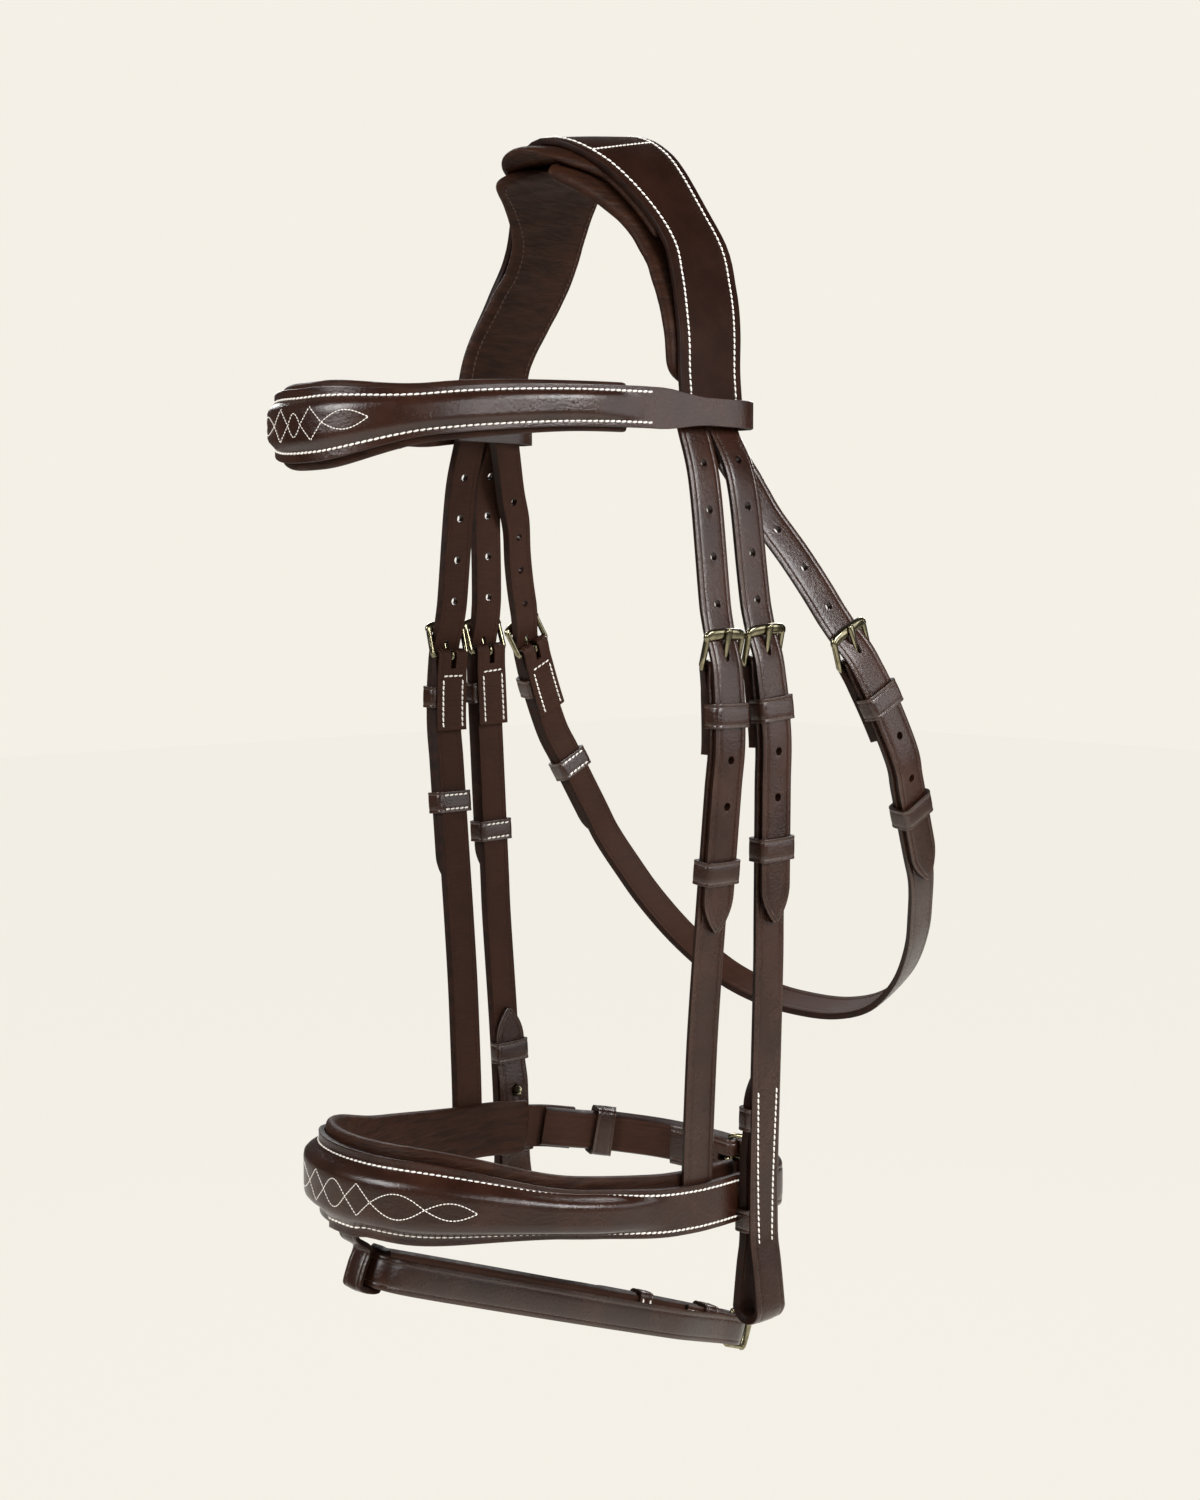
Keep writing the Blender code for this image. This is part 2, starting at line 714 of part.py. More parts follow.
def throat_points():
    """From the left side of the headpiece down round the jaw and up to the right side."""
    down = Vector((0, THROAT_SLOPE, -1)).normalized()
    start = Vector((0, THROAT_BACK, -BROW_DROP + BROW_SIDE_HEIGHT * 0.5))
    shares = THROAT_UPPER_SHARES + THROAT_MIDDLE_SHARES + tuple(run_points(THROAT_RUN_SHARES))
    points = []
    for x, q in shares + THROAT_LOWER_SHARES:
        point = start + down * THROAT_LENGTH * q
        points.append(Vector((THROAT_HALF_WIDTH * x, point.y, point.z)))
    return points + [mirrored(p, -1) for p in reversed(points[:-1])]


NOSE = Spine(nose_points(), (0, 1, 0))
CHEEK = Spine(cheek_points(), (0, 1, 0))
THROAT = Spine(throat_points(), (0, 1, THROAT_SLOPE), steps=8)


def s_at_drop(spine, drop):
    """The length at which the spine has come down this far."""
    for i, (above, below) in enumerate(zip(spine.points, spine.points[1:])):
        if above.z >= -drop > below.z:
            share = (above.z + drop) / (above.z - below.z)
            return blend(spine.lengths[i], spine.lengths[i + 1], share)
    return spine.length


# Crown
CROWN_PADDING_REACH_SHARE = 0.60
SIDE_PAD_REACH_SHARES = (0.10, 0.90)
CROWN_ROWS = 40
PADDING_ROWS = 24
SIDE_PAD_ROWS = 16


def crown_rows(widths, offset, start, stop, along, rounding=0.0):
    """Rows across the crown's spine from start to stop, shares of its length; negative is the right side."""
    rows = []
    half = CROWN.length / 2
    for i in range(along + 1):
        share = blend(start, stop, i / along)
        s = half * (1 + share)
        _, w, n = CROWN.frame(s)
        width, shift = widths(abs(share))
        centre = CROWN.position(s) + n * offset(abs(share))
        end = 1.0
        if rounding:
            gone = min(abs(share - start), abs(stop - share)) * half
            end = math.sqrt(max(0.0, 1 - (1 - min(1.0, (gone + rounding * 0.1) / rounding)) ** 2))
        rows.append([centre + w * (shift + width / 2 * end * a) for a in (-1.0, 1.0)])
    return rows


def leather_width(share):
    narrow = ease(share / 0.45)
    return blend(CROWN_TOP_WIDTH, CROWN_SIDE_WIDTH, narrow), 0.0


def padding_width(share):
    narrow = ease(share / 0.42)
    width = blend(CROWN_PADDING_TOP_WIDTH, SIDE_PAD_WIDTH, narrow)
    return width, -(CROWN_PADDING_TOP_WIDTH - CROWN_TOP_WIDTH) / 4 * (1 - narrow)


def side_pad_width(share):
    narrow = ease((share - 0.10) / 0.40)
    width = blend(SIDE_PAD_TOP_WIDTH, SIDE_PAD_WIDTH, narrow)
    return width, -(SIDE_PAD_TOP_WIDTH - SIDE_PAD_WIDTH) / 3 * (1 - narrow)


def build_crown():
    leather = crown_rows(leather_width, lambda share: 0.0, -1.0, 1.0, CROWN_ROWS)
    sheet("crown_leather", leather, CROWN_LEATHER_THICKNESS, LEATHER, bevel=CROWN_LEATHER_THICKNESS / 5)
    under = (CROWN_LEATHER_THICKNESS + CROWN_PADDING_THICKNESS) / 2 + CLEARANCE
    reach = CROWN_PADDING_REACH_SHARE
    padding = crown_rows(padding_width, lambda share: -under, -reach, reach, PADDING_ROWS)
    sheet("crown_padding", padding, CROWN_PADDING_THICKNESS, LINING, bevel=CROWN_PADDING_THICKNESS / 3)
    deep = under + (CROWN_PADDING_THICKNESS + SIDE_PAD_THICKNESS) / 2 + 2 * CLEARANCE
    shallow = (CROWN_LEATHER_THICKNESS + SIDE_PAD_THICKNESS) / 2 + CLEARANCE

    def pad_offset(share):
        return -blend(deep, shallow, ease((share - reach - 0.02) / 0.12))

    start, stop = SIDE_PAD_REACH_SHARES
    for side, word in ((1, "left"), (-1, "right")):
        rows = crown_rows(side_pad_width, pad_offset, start, stop, SIDE_PAD_ROWS, SIDE_PAD_WIDTH / 3)
        rows = [[mirrored(point, side) for point in row] for row in rows]
        sheet("side_pad_" + word, rows, SIDE_PAD_THICKNESS, LINING, bevel=SIDE_PAD_THICKNESS / 3)


build_crown()


# Side straps
SIDES = ((1, "left"), (-1, "right"))
NOSE_BAR = s_at_drop(NOSE, NOSE_BUCKLE_DROP)
CHEEK_BAR = s_at_drop(CHEEK, BUCKLE_DROP)
THROAT_BAR = s_at_drop(THROAT, BUCKLE_DROP)
KEEPER_DROPS = {
    "nose_left": NOSE_KEEPER_DROP_LEFT,
    "nose_right": NOSE_KEEPER_DROP_RIGHT,
    "cheek_left": CHEEK_KEEPER_DROP_LEFT,
    "cheek_right": CHEEK_KEEPER_DROP_RIGHT,
    "throat_left": THROAT_KEEPER_DROP_LEFT,
    "throat_right": THROAT_KEEPER_DROP_RIGHT,
}
RUN_SPACING = 0.0180


def run_of(start, stop):
    """Lengths from start to stop, both included, no further apart than the spacing."""
    count = max(1, math.ceil((stop - start) / RUN_SPACING))
    return [blend(start, stop, i / count) for i in range(count + 1)]


def side_buckle(place, spine, s_bar, side, chape):
    """The headpiece's point strap, its buckle and the two keepers over the chape."""
    size = STRAP_BUCKLE
    point = strap("point_" + place, spine, point_path(0.0, s_bar, size, TAIL_LENGTH), side, tip=True)
    cut_strap_holes(place, point, spine, s_bar, size, side, HOLES_ABOVE, HOLES_BELOW)
    cut_prong_hole(place, point, spine, s_bar, size, side)
    buckle_set(place, spine, s_bar, size, side, chape)
    outer = size.tail + size.thickness / 2
    inner = -size.ply - size.thickness / 2
    keeper("keeper_upper_" + place, spine, s_bar + UPPER_KEEPER_DROP, (inner, outer), side)
    below = s_bar + KEEPER_DROPS[place]
    keeper("keeper_sliding_" + place, spine, below, (size.ply - size.thickness / 2, outer), side)


def build_nose_cheek(side, word):
    size = STRAP_BUCKLE
    stop = s_at_drop(NOSE, NOSEBAND_DROP - NOSE_STRAP_CUT)
    onward = run_of(NOSE_BAR + TURN_BACK_LENGTH * TURN_BACK_SHARE, stop)
    path = fold_path(NOSE_BAR, size, TURN_BACK_LENGTH, onward)
    chape = strap("noseband_cheek_" + word, NOSE, path, side)
    side_buckle("nose_" + word, NOSE, NOSE_BAR, side, chape)


BILLET_PLY = STRAP_BUCKLE.ply - STRAP_THICKNESS - STUD_DISC_THICKNESS - 2 * CLEARANCE
LOOP_DEGREES = (110, 75, 40, 0, -40, -75, -110)
LOOP_NECK_SHARES = ((1.35, 0.0), (0.95, 0.04), (0.62, 0.28))


def billet_path(size, bottom):
    """(s, n) of the bit loop and of the billet that comes back up inside to the stud."""
    centre_n = (size.ply + BILLET_PLY) / 2
    centre_s = bottom - BIT_LOOP_RADIUS - STRAP_THICKNESS / 2
    path = []
    for length, open_share in LOOP_NECK_SHARES:
        path.append((centre_s - BIT_LOOP_LENGTH * length, size.ply + BIT_LOOP_RADIUS * open_share))
    for degrees in LOOP_DEGREES:
        turn = math.radians(degrees)
        path.append((centre_s + BIT_LOOP_RADIUS * math.cos(turn), centre_n + BIT_LOOP_RADIUS * math.sin(turn)))
    for length, open_share in reversed(LOOP_NECK_SHARES):
        path.append((centre_s - BIT_LOOP_LENGTH * length, BILLET_PLY - BIT_LOOP_RADIUS * open_share))
    for height in (STUD_HEIGHT - STUD_DISC_RADIUS, STUD_HEIGHT + STUD_DISC_RADIUS):
        path.append((bottom - height, BILLET_PLY))
    for height in (BILLET_KEEPER_HIGH - KEEPER_WIDTH / 2, BILLET_KEEPER_HIGH + KEEPER_WIDTH / 2, BILLET_LENGTH):
        path.append((bottom - height, -size.ply))
    return path


def turned(name, profile, steps, origin, axis):
    """A solid of revolution: the profile's (radius, height) points turned about the axis."""
    mesh = bpy.data.meshes.new(name)
    outline = bmesh.new()
    points = [outline.verts.new((r, 0.0, h)) for r, h in profile]
    for a, b in zip(points, points[1:]):
        outline.edges.new((a, b))
    outline.to_mesh(mesh)
    outline.free()
    obj = add_object(name, mesh, METAL)
    obj.location = origin
    obj.rotation_euler = axis.to_track_quat("Z", "Y").to_euler()
    turn = obj.modifiers.new("turn", "SCREW")
    turn.steps = steps
    turn.render_steps = steps
    turn.use_merge_vertices = True
    turn.merge_threshold = MERGE_DISTANCE
    turn.use_normal_calculate = True
    return obj


def stud_profile():
    disc, post, head = STUD_DISC_RADIUS, STUD_POST_RADIUS, STUD_HEAD_RADIUS
    top = STUD_DISC_THICKNESS + 2 * CLEARANCE + STRAP_THICKNESS
    edge = STUD_DISC_THICKNESS / 4
    profile = [(0.0, 0.0), (disc - edge, 0.0), (disc, edge), (disc, STUD_DISC_THICKNESS - edge)]
    profile += [(disc - edge, STUD_DISC_THICKNESS), (post, STUD_DISC_THICKNESS), (post, top)]
    for r_share, h_share in STUD_HEAD_SHARES:
        profile.append((head * r_share, top + STUD_HEAD_LENGTH * h_share))
    return profile


def build_cheekpiece(side, word):
    size = STRAP_BUCKLE
    bottom = s_at_drop(CHEEK, BIT_DROP - BIT_DROP_MARGIN) + BIT_DROP_MARGIN
    lower = bottom - BIT_LOOP_RADIUS - STRAP_THICKNESS / 2 - BIT_LOOP_LENGTH * LOOP_NECK_SHARES[0][0]
    onward = run_of(CHEEK_BAR + TURN_BACK_LENGTH * TURN_BACK_SHARE, lower)
    path = fold_path(CHEEK_BAR, size, TURN_BACK_LENGTH, onward[:-1]) + billet_path(size, bottom)
    chape = strap("cheekpiece_" + word, CHEEK, path, side, tip=True)
    side_buckle("cheek_" + word, CHEEK, CHEEK_BAR, side, chape)
    s_stud = bottom - STUD_HEIGHT
    depth = STRAP_THICKNESS * HOLE_DEPTH_SHARE
    place = [(s_stud, BILLET_PLY)]
    slot = hole_cutter("stud_hole_" + word, CHEEK, place, STUD_HOLE_RADIUS, side, depth, STUD_SLOT_SHARE)
    cut(chape, slot)
    n_top = size.ply - STRAP_THICKNESS / 2 - CLEARANCE
    axis = CHEEK.place(s_stud, n_top - 1.0, side) - CHEEK.place(s_stud, n_top, side)
    turned("hook_stud_" + word, stud_profile(), STUD_STEPS, CHEEK.place(s_stud, n_top, side), axis)
    stack = size.ply + STRAP_THICKNESS / 2
    keeper("keeper_billet_" + word, CHEEK, bottom - BILLET_KEEPER_HIGH, (-stack, stack), side)


def build_throatlash():
    """One strap with a chape and a buckle at each end."""
    size = STRAP_BUCKLE
    whole = THROAT.length
    start = THROAT_BAR + TURN_BACK_LENGTH * TURN_BACK_SHARE
    bottom = whole / 2
    easing = (THROAT_BAR + TAIL_LENGTH, THROAT_BAR + TAIL_LENGTH + RUN_SPACING)
    half = [(s, n) for s, n in fold_path(THROAT_BAR, size, TURN_BACK_LENGTH, run_of(start, easing[0]))]
    half += [(s, 0.0) for s in run_of(easing[1], bottom)]
    path = half + [(whole - s, n) for s, n in reversed(half[:-1])]
    lash = strap("throatlash", THROAT, path, 1)
    for side, word in SIDES:
        side_buckle("throat_" + word, THROAT, THROAT_BAR, side, lash)


def build_sides():
    for side, word in SIDES:
        build_nose_cheek(side, word)
        build_cheekpiece(side, word)
    build_throatlash()


build_sides()


# Noseband
BAND_SHARES = (
    (0.0, -1.0, 1.0, 0.0),
    (0.371, -0.946, 0.97, 0.0),
    (0.681, -0.767, 0.83, 0.0),
    (0.891, -0.512, 0.50, 0.0),
    (0.984, -0.217, 0.15, 0.0),
    (1.0, -0.060, 0.02, 0.0),
    (1.0, 0.054, 0.0, 0.02),
    (0.968, 0.178, 0.0, 0.10),
    (0.916, 0.326, 0.0, 0.25),
    (0.842, 0.442, 0.0, 0.45),
)
BAND_ROW_SHARES = (
    0.0, 0.030, 0.062, 0.105, 0.155, 0.21, 0.275, 0.34, 0.405, 0.47, 0.53, 0.59, 0.645, 0.70, 0.76, 0.82, 0.88, 0.94, 1.0
)
BAND_COLUMN_SHARES = (-1.0, -0.78, -0.45, 0.0, 0.45, 0.78, 1.0)
BAND_BULGE_SHARES = (0.50, 0.645)
BAND_TAPER_SHARES = (0.13, 0.46)
BAND_PADDING_REACH_SHARE = 0.88
BAND_CORE_REACH_SHARE = 0.59
BAND_CORE_HEIGHT_SHARE = 0.42
BAND_TAB_SHARES = (0.035, 0.060)
STRAP_LAYER = (NOSE_LEATHER_THICKNESS + STRAP_THICKNESS) / 2 + CLEARANCE
PADDING_FACE = STRAP_LAYER + STRAP_THICKNESS / 2 + CLEARANCE


def band_points():
    points = []
    for x, y, lift, drop in BAND_SHARES:
        z = -NOSEBAND_DROP + NOSE_FRONT_LIFT * lift - NOSE_REAR_DROP * drop
        points.append(Vector((NOSE_HALF_WIDTH * x, NOSE_FRONT * y, z)))
    return [mirrored(p, -1) for p in reversed(points[1:])] + points


BAND = Spine(band_points(), (0, 0, 1), steps=8)


def rows_along(spine, row_shares, reach, row):
    """Mirrored rows about the middle of a spine that goes from the right side to the left."""
    half = spine.length / 2
    ahead = [share for share in row_shares if share <= reach]
    shares = [-share for share in reversed(ahead[1:])] + ahead
    return [[spine.place(half * (1 + share), n, 1, w) for w, n in row(abs(share))] for share in shares]


def band_height(share):
    start, stop = BAND_TAPER_SHARES
    return blend(NOSE_FRONT_HEIGHT, NOSE_SIDE_HEIGHT, ease((share - start) / (stop - start)))


def band_leather_row(share):
    """Raised over the core and drawn down to the padding at the edges, then flat over the cheek strap."""
    start, stop = BAND_BULGE_SHARES
    raised = 1.0 - ease((share - start) / (stop - start))
    low = -(PADDING_FACE - CLEARANCE - NOSE_LEATHER_THICKNESS / 2)
    first, last = BAND_TAB_SHARES
    tab = 1.0 - ease((share - first) / (last - first))
    open_edge = low + FLASH_LOOP_THICKNESS + 3 * CLEARANCE
    row = []
    for column in BAND_COLUMN_SHARES:
        edge = low if column > 0 else blend(low, open_edge, tab)
        flat = ease((abs(column) - BAND_CORE_HEIGHT_SHARE) / (BAND_COLUMN_SHARES[-2] - BAND_CORE_HEIGHT_SHARE))
        row.append((column * band_height(share) / 2, blend(NOSE_BULGE, edge, flat) * raised))
    return row


def band_padding_row(share):
    half = (band_height(share) + NOSE_PADDING_MARGIN) / 2
    n = -(PADDING_FACE + NOSE_PADDING_THICKNESS / 2)
    return [(NOSE_PADDING_LIFT - half, n), (NOSE_PADDING_LIFT + half, n)]


def band_core_row(share):
    half = band_height(share) / 2 * BAND_CORE_HEIGHT_SHARE
    n = -(PADDING_FACE - CLEARANCE - NOSE_CORE_THICKNESS / 2)
    return [(-half, n), (half, n)]


REAR_SHARES = (
    (0.880, 0.431, 0.23),
    (0.8055, 0.589, 0.45),
    (0.705, 0.768, 0.72),
    (0.433, 0.942, 0.93),
    (0.0, 1.0, 1.0),
)
REAR_BUCKLE = BuckleSizes(REAR_STRAP_WIDTH, STRAP_THICKNESS, BUCKLE_RISE)


def rear_points():
    """From the left end of the noseband round behind the jaw to the right end."""
    points = []
    for x, y, drop in REAR_SHARES:
        points.append(Vector((NOSE_HALF_WIDTH * x, NOSE_REAR * y, -NOSEBAND_DROP - NOSE_REAR_DROP * drop)))
    return points + [mirrored(p, -1) for p in reversed(points[:-1])]


REAR = Spine(rear_points(), (0, 0, 1), steps=8)


def build_rear_straps():
    size = REAR_BUCKLE
    s_bar = REAR.length / 2 - REAR_BUCKLE_OFFSET
    point_run = point_path(0.0, s_bar, size, REAR_TAIL_LENGTH)
    point = strap("noseband_point_rear", REAR, point_run, 1, tip=True, width=REAR_STRAP_WIDTH)
    cut_strap_holes("rear", point, REAR, s_bar, size, 1, HOLES_BELOW, HOLES_BELOW)
    cut_prong_hole("rear", point, REAR, s_bar, size, 1)
    start = s_bar + TURN_BACK_LENGTH * TURN_BACK_SHARE
    settle = s_bar + REAR_KEEPER_REACH + KEEPER_WIDTH / 2
    path = fold_path(s_bar, size, TURN_BACK_LENGTH, run_of(start, settle))
    path += [(s, 0.0) for s in run_of(settle + REAR_SETTLE_LENGTH, REAR.length)]
    chape = strap("noseband_chape_rear", REAR, path, 1, width=REAR_STRAP_WIDTH)
    buckle_set("rear", REAR, s_bar, size, 1, chape)
    outer = size.tail + size.thickness / 2
    s_keeper = s_bar + REAR_KEEPER_REACH
    stack = (size.ply - size.thickness / 2, outer)
    keeper("keeper_rear", REAR, s_keeper, stack, 1, REAR_STRAP_WIDTH, KEEPER_WIDTH, REAR_KEEPER_SLACK)


def build_noseband():
    leather = rows_along(BAND, BAND_ROW_SHARES, 1.0, band_leather_row)
    sheet("noseband_leather", leather, NOSE_LEATHER_THICKNESS, LEATHER)
    padding = rows_along(BAND, BAND_ROW_SHARES, BAND_PADDING_REACH_SHARE, band_padding_row)
    sheet("noseband_padding", padding, NOSE_PADDING_THICKNESS, LINING, bevel=NOSE_PADDING_THICKNESS / 3)
    core = rows_along(BAND, BAND_ROW_SHARES, BAND_CORE_REACH_SHARE, band_core_row)
    sheet("noseband_core", core, NOSE_CORE_THICKNESS, CORE)
    build_rear_straps()


build_noseband()


# Browband
BROW_SHARES = (
    (0.0, -1.0, 1.0),
    (0.369, -0.945, 0.80),
    (0.702, -0.745, 0.35),
    (0.899, -0.497, 0.08),
    (0.978, -0.255, 0.0),
    (0.985, -0.103, 0.0),
    (0.989, 0.048, 0.0),
    (0.987, 0.138, 0.0),
    (0.973, 0.185, 0.0),
    (0.938, 0.212, 0.0),
    (0.885, 0.224, 0.0),
    (0.832, 0.212, 0.0),
    (0.797, 0.180, 0.0),
    (0.785, 0.138, 0.0),
    (0.784, 0.030, 0.0),
    (0.786, -0.110, 0.0),
)
BROW_COLUMN_SHARES = (-1.0, -0.72, -0.40, 0.0, 0.40, 0.72, 1.0)
BROW_TAPER_SHARES = (0.03, 0.22, 0.46)
BROW_LOOP_SHARES = (0.58, 0.68)
BROW_BULGE_SHARES = (0.44, 0.54)
BROW_PADDING_REACH_SHARE = 0.53
BROW_CORE_REACH_SHARE = 0.42
BROW_CORE_HEIGHT_SHARE = 0.38
BROW_PADDING_FACE = BROW_LEATHER_THICKNESS / 2 + 0.4 * STRAP_THICKNESS


def brow_points():
    points = []
    for x, y, dip in BROW_SHARES:
        points.append(Vector((BROW_HALF_WIDTH * x, BROW_FRONT * y, -BROW_DROP - BROW_FRONT_DIP * dip)))
    return [mirrored(p, -1) for p in reversed(points[1:])] + points


BROW = Spine(brow_points(), (0, 0, 1), steps=6)


def brow_height(share, front, middle, side, end):
    first, second, third = BROW_TAPER_SHARES
    start, stop = BROW_LOOP_SHARES
    height = blend(front, middle, ease((share - first) / (second - first)))
    height = blend(height, side, ease((share - second) / (third - second)))
    return blend(height, end, ease((share - start) / (stop - start)))


def brow_leather_row(share):
    height = brow_height(share, BROW_FRONT_HEIGHT, BROW_MIDDLE_HEIGHT, BROW_SIDE_HEIGHT, BROW_LOOP_HEIGHT)
    start, stop = BROW_BULGE_SHARES
    raised = 1.0 - ease((share - start) / (stop - start))
    low = -(BROW_PADDING_FACE - CLEARANCE - BROW_LEATHER_THICKNESS / 2)
    row = []
    for column in BROW_COLUMN_SHARES:
        flat = ease((abs(column) - BROW_CORE_HEIGHT_SHARE) / (BROW_COLUMN_SHARES[-2] - BROW_CORE_HEIGHT_SHARE))
        row.append((column * height / 2, blend(BROW_BULGE, low, flat) * raised))
    return row


def brow_padding_row(share):
    front, side = BROW_PADDING_FRONT_HEIGHT, BROW_PADDING_SIDE_HEIGHT
    half = brow_height(share, front, blend(front, side, 0.8), side, side) / 2
    n = -(BROW_PADDING_FACE + BROW_PADDING_THICKNESS / 2)
    return [(-half, n), (half, n)]


def brow_core_row(share):
    height = brow_height(share, BROW_FRONT_HEIGHT, BROW_MIDDLE_HEIGHT, BROW_SIDE_HEIGHT, BROW_LOOP_HEIGHT)
    half = height / 2 * BROW_CORE_HEIGHT_SHARE
    n = -(BROW_PADDING_FACE - CLEARANCE - BROW_CORE_THICKNESS / 2)
    return [(-half, n), (half, n)]


def brow_row_shares():
    """The spine's own points from the middle outwards, thinned where it is straight."""
    kept = thin(BROW.points, BEND_TOLERANCE * 4)
    half = BROW.length / 2
    shares = [BROW.lengths[i] / half - 1.0 for i in kept]
    return [0.0] + [share for share in shares if share > 0.01]


def build_browband():
    shares = brow_row_shares()
    leather = rows_along(BROW, shares, 1.0 + CLEARANCE, brow_leather_row)
    sheet("browband_leather", leather, BROW_LEATHER_THICKNESS, LEATHER)
    padding = rows_along(BROW, shares, BROW_PADDING_REACH_SHARE, brow_padding_row)
    sheet("browband_padding", padding, BROW_PADDING_THICKNESS, LINING, bevel=BROW_PADDING_THICKNESS / 3)
    core = rows_along(BROW, shares, BROW_CORE_REACH_SHARE, brow_core_row)
    sheet("browband_core", core, BROW_CORE_THICKNESS, CORE)


build_browband()


# Flash
FLASH_SHARES = (
    (0.375, 0.004),
    (0.690, 0.018),
    (0.850, 0.045),
    (0.950, 0.110),
    (1.0, 0.300),
    (0.980, 0.500),
    (0.850, 0.700),
    (0.600, 0.850),
    (0.360, 0.950),
    (0.300, 1.060),
)
FLASH_BAR_SHARE = 0.955
FLASH_LEAVE_SHARE = 0.74
FLASH_ENTRY_SHARES = (
    (2.06, -1.35),
    (1.11, -0.99),
    (0.48, -0.78),
    (0.0, -0.62),
    (-0.365, -0.365),
    (-0.530, 0.040),
    (-0.357, 0.413),
    (0.0, 0.571),
    (0.476, 0.460),
)
PITCH = math.radians(FLASH_PITCH_DEGREES)
FLASH_BACK = Vector((0, math.cos(PITCH), -math.sin(PITCH)))
FLASH_UP = Vector((0, math.sin(PITCH), math.cos(PITCH)))
FLASH_ORIGIN = Vector((0, -FLASH_FRONT, -FLASH_DROP))


def flash_points():
    """In the flash's own plane, from the right rear forwards round the front to the left rear."""
    points = [FLASH_ORIGIN.copy()]
    for x, q in FLASH_SHARES:
        points.append(FLASH_ORIGIN + FLASH_BACK * (FLASH_LENGTH * q) + Vector((FLASH_HALF_SPREAD * x, 0, 0)))
    return [mirrored(p, -1) for p in reversed(points[1:])] + points


FLASH = Spine(flash_points(), FLASH_UP, steps=6)


def build_flash_strap():
    size = FLASH_BUCKLE
    s_bar = FLASH_LENGTH * (FLASH_SHARES[-1][1] - FLASH_BAR_SHARE)
    start = s_bar + FLASH_TURN_BACK_LENGTH * TURN_BACK_SHARE
    tail_end = s_bar + FLASH_TAIL_LENGTH
    run = fold_path(s_bar, size, FLASH_TURN_BACK_LENGTH, run_of(start, tail_end))
    leave = FLASH.length - FLASH_LENGTH * (FLASH_SHARES[-1][1] - FLASH_LEAVE_SHARE)
    middle = FLASH.length / 2
    run += [(s, 0.0) for s in run_of(tail_end + RUN_SPACING, middle - RUN_SPACING)]
    run += [(middle - RUN_SPACING / 2, 0.0), (middle, 0.0), (middle + RUN_SPACING / 2, 0.0)]
    run += [(s, 0.0) for s in run_of(middle + RUN_SPACING, leave)]
    run += [(s_bar + size.reach * s, size.reach * n) for s, n in FLASH_ENTRY_SHARES]
    run += [(s, size.tail) for s in run_of(s_bar + size.reach, tail_end)]
    points = [FLASH.place(s, n) for s, n in run]
    strap_object = ribbon("flash_strap", points, FLASH_UP, FLASH_STRAP_WIDTH, FLASH_STRAP_THICKNESS, tip=True)
    buckle_set("flash", FLASH, s_bar, size, 1, strap_object)
    places = []
    for i in range(HOLES_BELOW):
        places.append((s_bar + FLASH_KEEPER_DROPS[0] + HOLE_PITCH * (i + HOLE_START_SHARE), size.tail))
    depth = size.thickness * HOLE_DEPTH_SHARE
    cut(strap_object, hole_cutter("holes_flash", FLASH, places, HOLE_DIAMETER / 2, 1, depth))
    cut_prong_hole("flash", strap_object, FLASH, s_bar, size, 1, -FLASH_ENTRY_SHARES[5][0])
    outer = size.tail + size.thickness / 2
    lows = (-size.ply - size.thickness / 2, size.ply - size.thickness / 2)
    for number, (drop, low) in enumerate(zip(FLASH_KEEPER_DROPS, lows), 1):
        band = keeper(
            f"keeper_flash_{number}", FLASH, s_bar + drop, (low, outer), 1, FLASH_STRAP_WIDTH, FLASH_KEEPER_WIDTH
        )
        set_origin(band, FLASH_ORIGIN)
    set_origin(strap_object, FLASH_ORIGIN)
    set_origin(bpy.data.objects["buckle_frame_flash"], FLASH_ORIGIN)


LOOP_ROUND_SHARES = (
    (1.0, 0.85),
    (1.0, 0.0),
    (1.0, -0.80),
    (0.80, -0.97),
    (0.0, -1.02),
    (-0.80, -0.97),
    (-1.0, -0.80),
    (-1.0, 0.0),
    (-1.0, 0.80),
    (-0.82, 0.98),
)


def build_flash_loop():
    """A tab sewn in behind the noseband's lower edge, then once round the strap."""
    half_f = FLASH_STRAP_THICKNESS / 2 + FLASH_LOOP_PLAY + FLASH_LOOP_THICKNESS / 2
    half_h = FLASH_STRAP_WIDTH / 2 + FLASH_LOOP_THICKNESS / 2 + 2 * CLEARANCE
    tab_y = -NOSE_FRONT + PADDING_FACE - CLEARANCE - FLASH_LOOP_THICKNESS / 2
    edge_z = -NOSEBAND_DROP + NOSE_FRONT_LIFT - NOSE_FRONT_HEIGHT / 2
    points = [Vector((0, tab_y, edge_z + FLASH_LOOP_TAB_RISE * rise)) for rise in (1.0, 0.4, -0.5)]
    for f, h in LOOP_ROUND_SHARES:
        points.append(FLASH_ORIGIN - FLASH_BACK * (half_f * f) + FLASH_UP * (half_h * h))
    ribbon("flash_loop", points, (1, 0, 0), FLASH_LOOP_WIDTH, FLASH_LOOP_THICKNESS)


def build_flash():
    build_flash_strap()
    build_flash_loop()


build_flash()
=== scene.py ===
"""Jumping bridle: the visual model, its light and its camera.

The horse faces -Y, its left side is +X and +Z is up, in metres. Each strap follows a spine: s runs along it,
w across it and n outwards. Lists whose names end in shares are fractions of the sizes they go with.
"""

import math

import bmesh
import bpy
from mathutils import Matrix, Vector


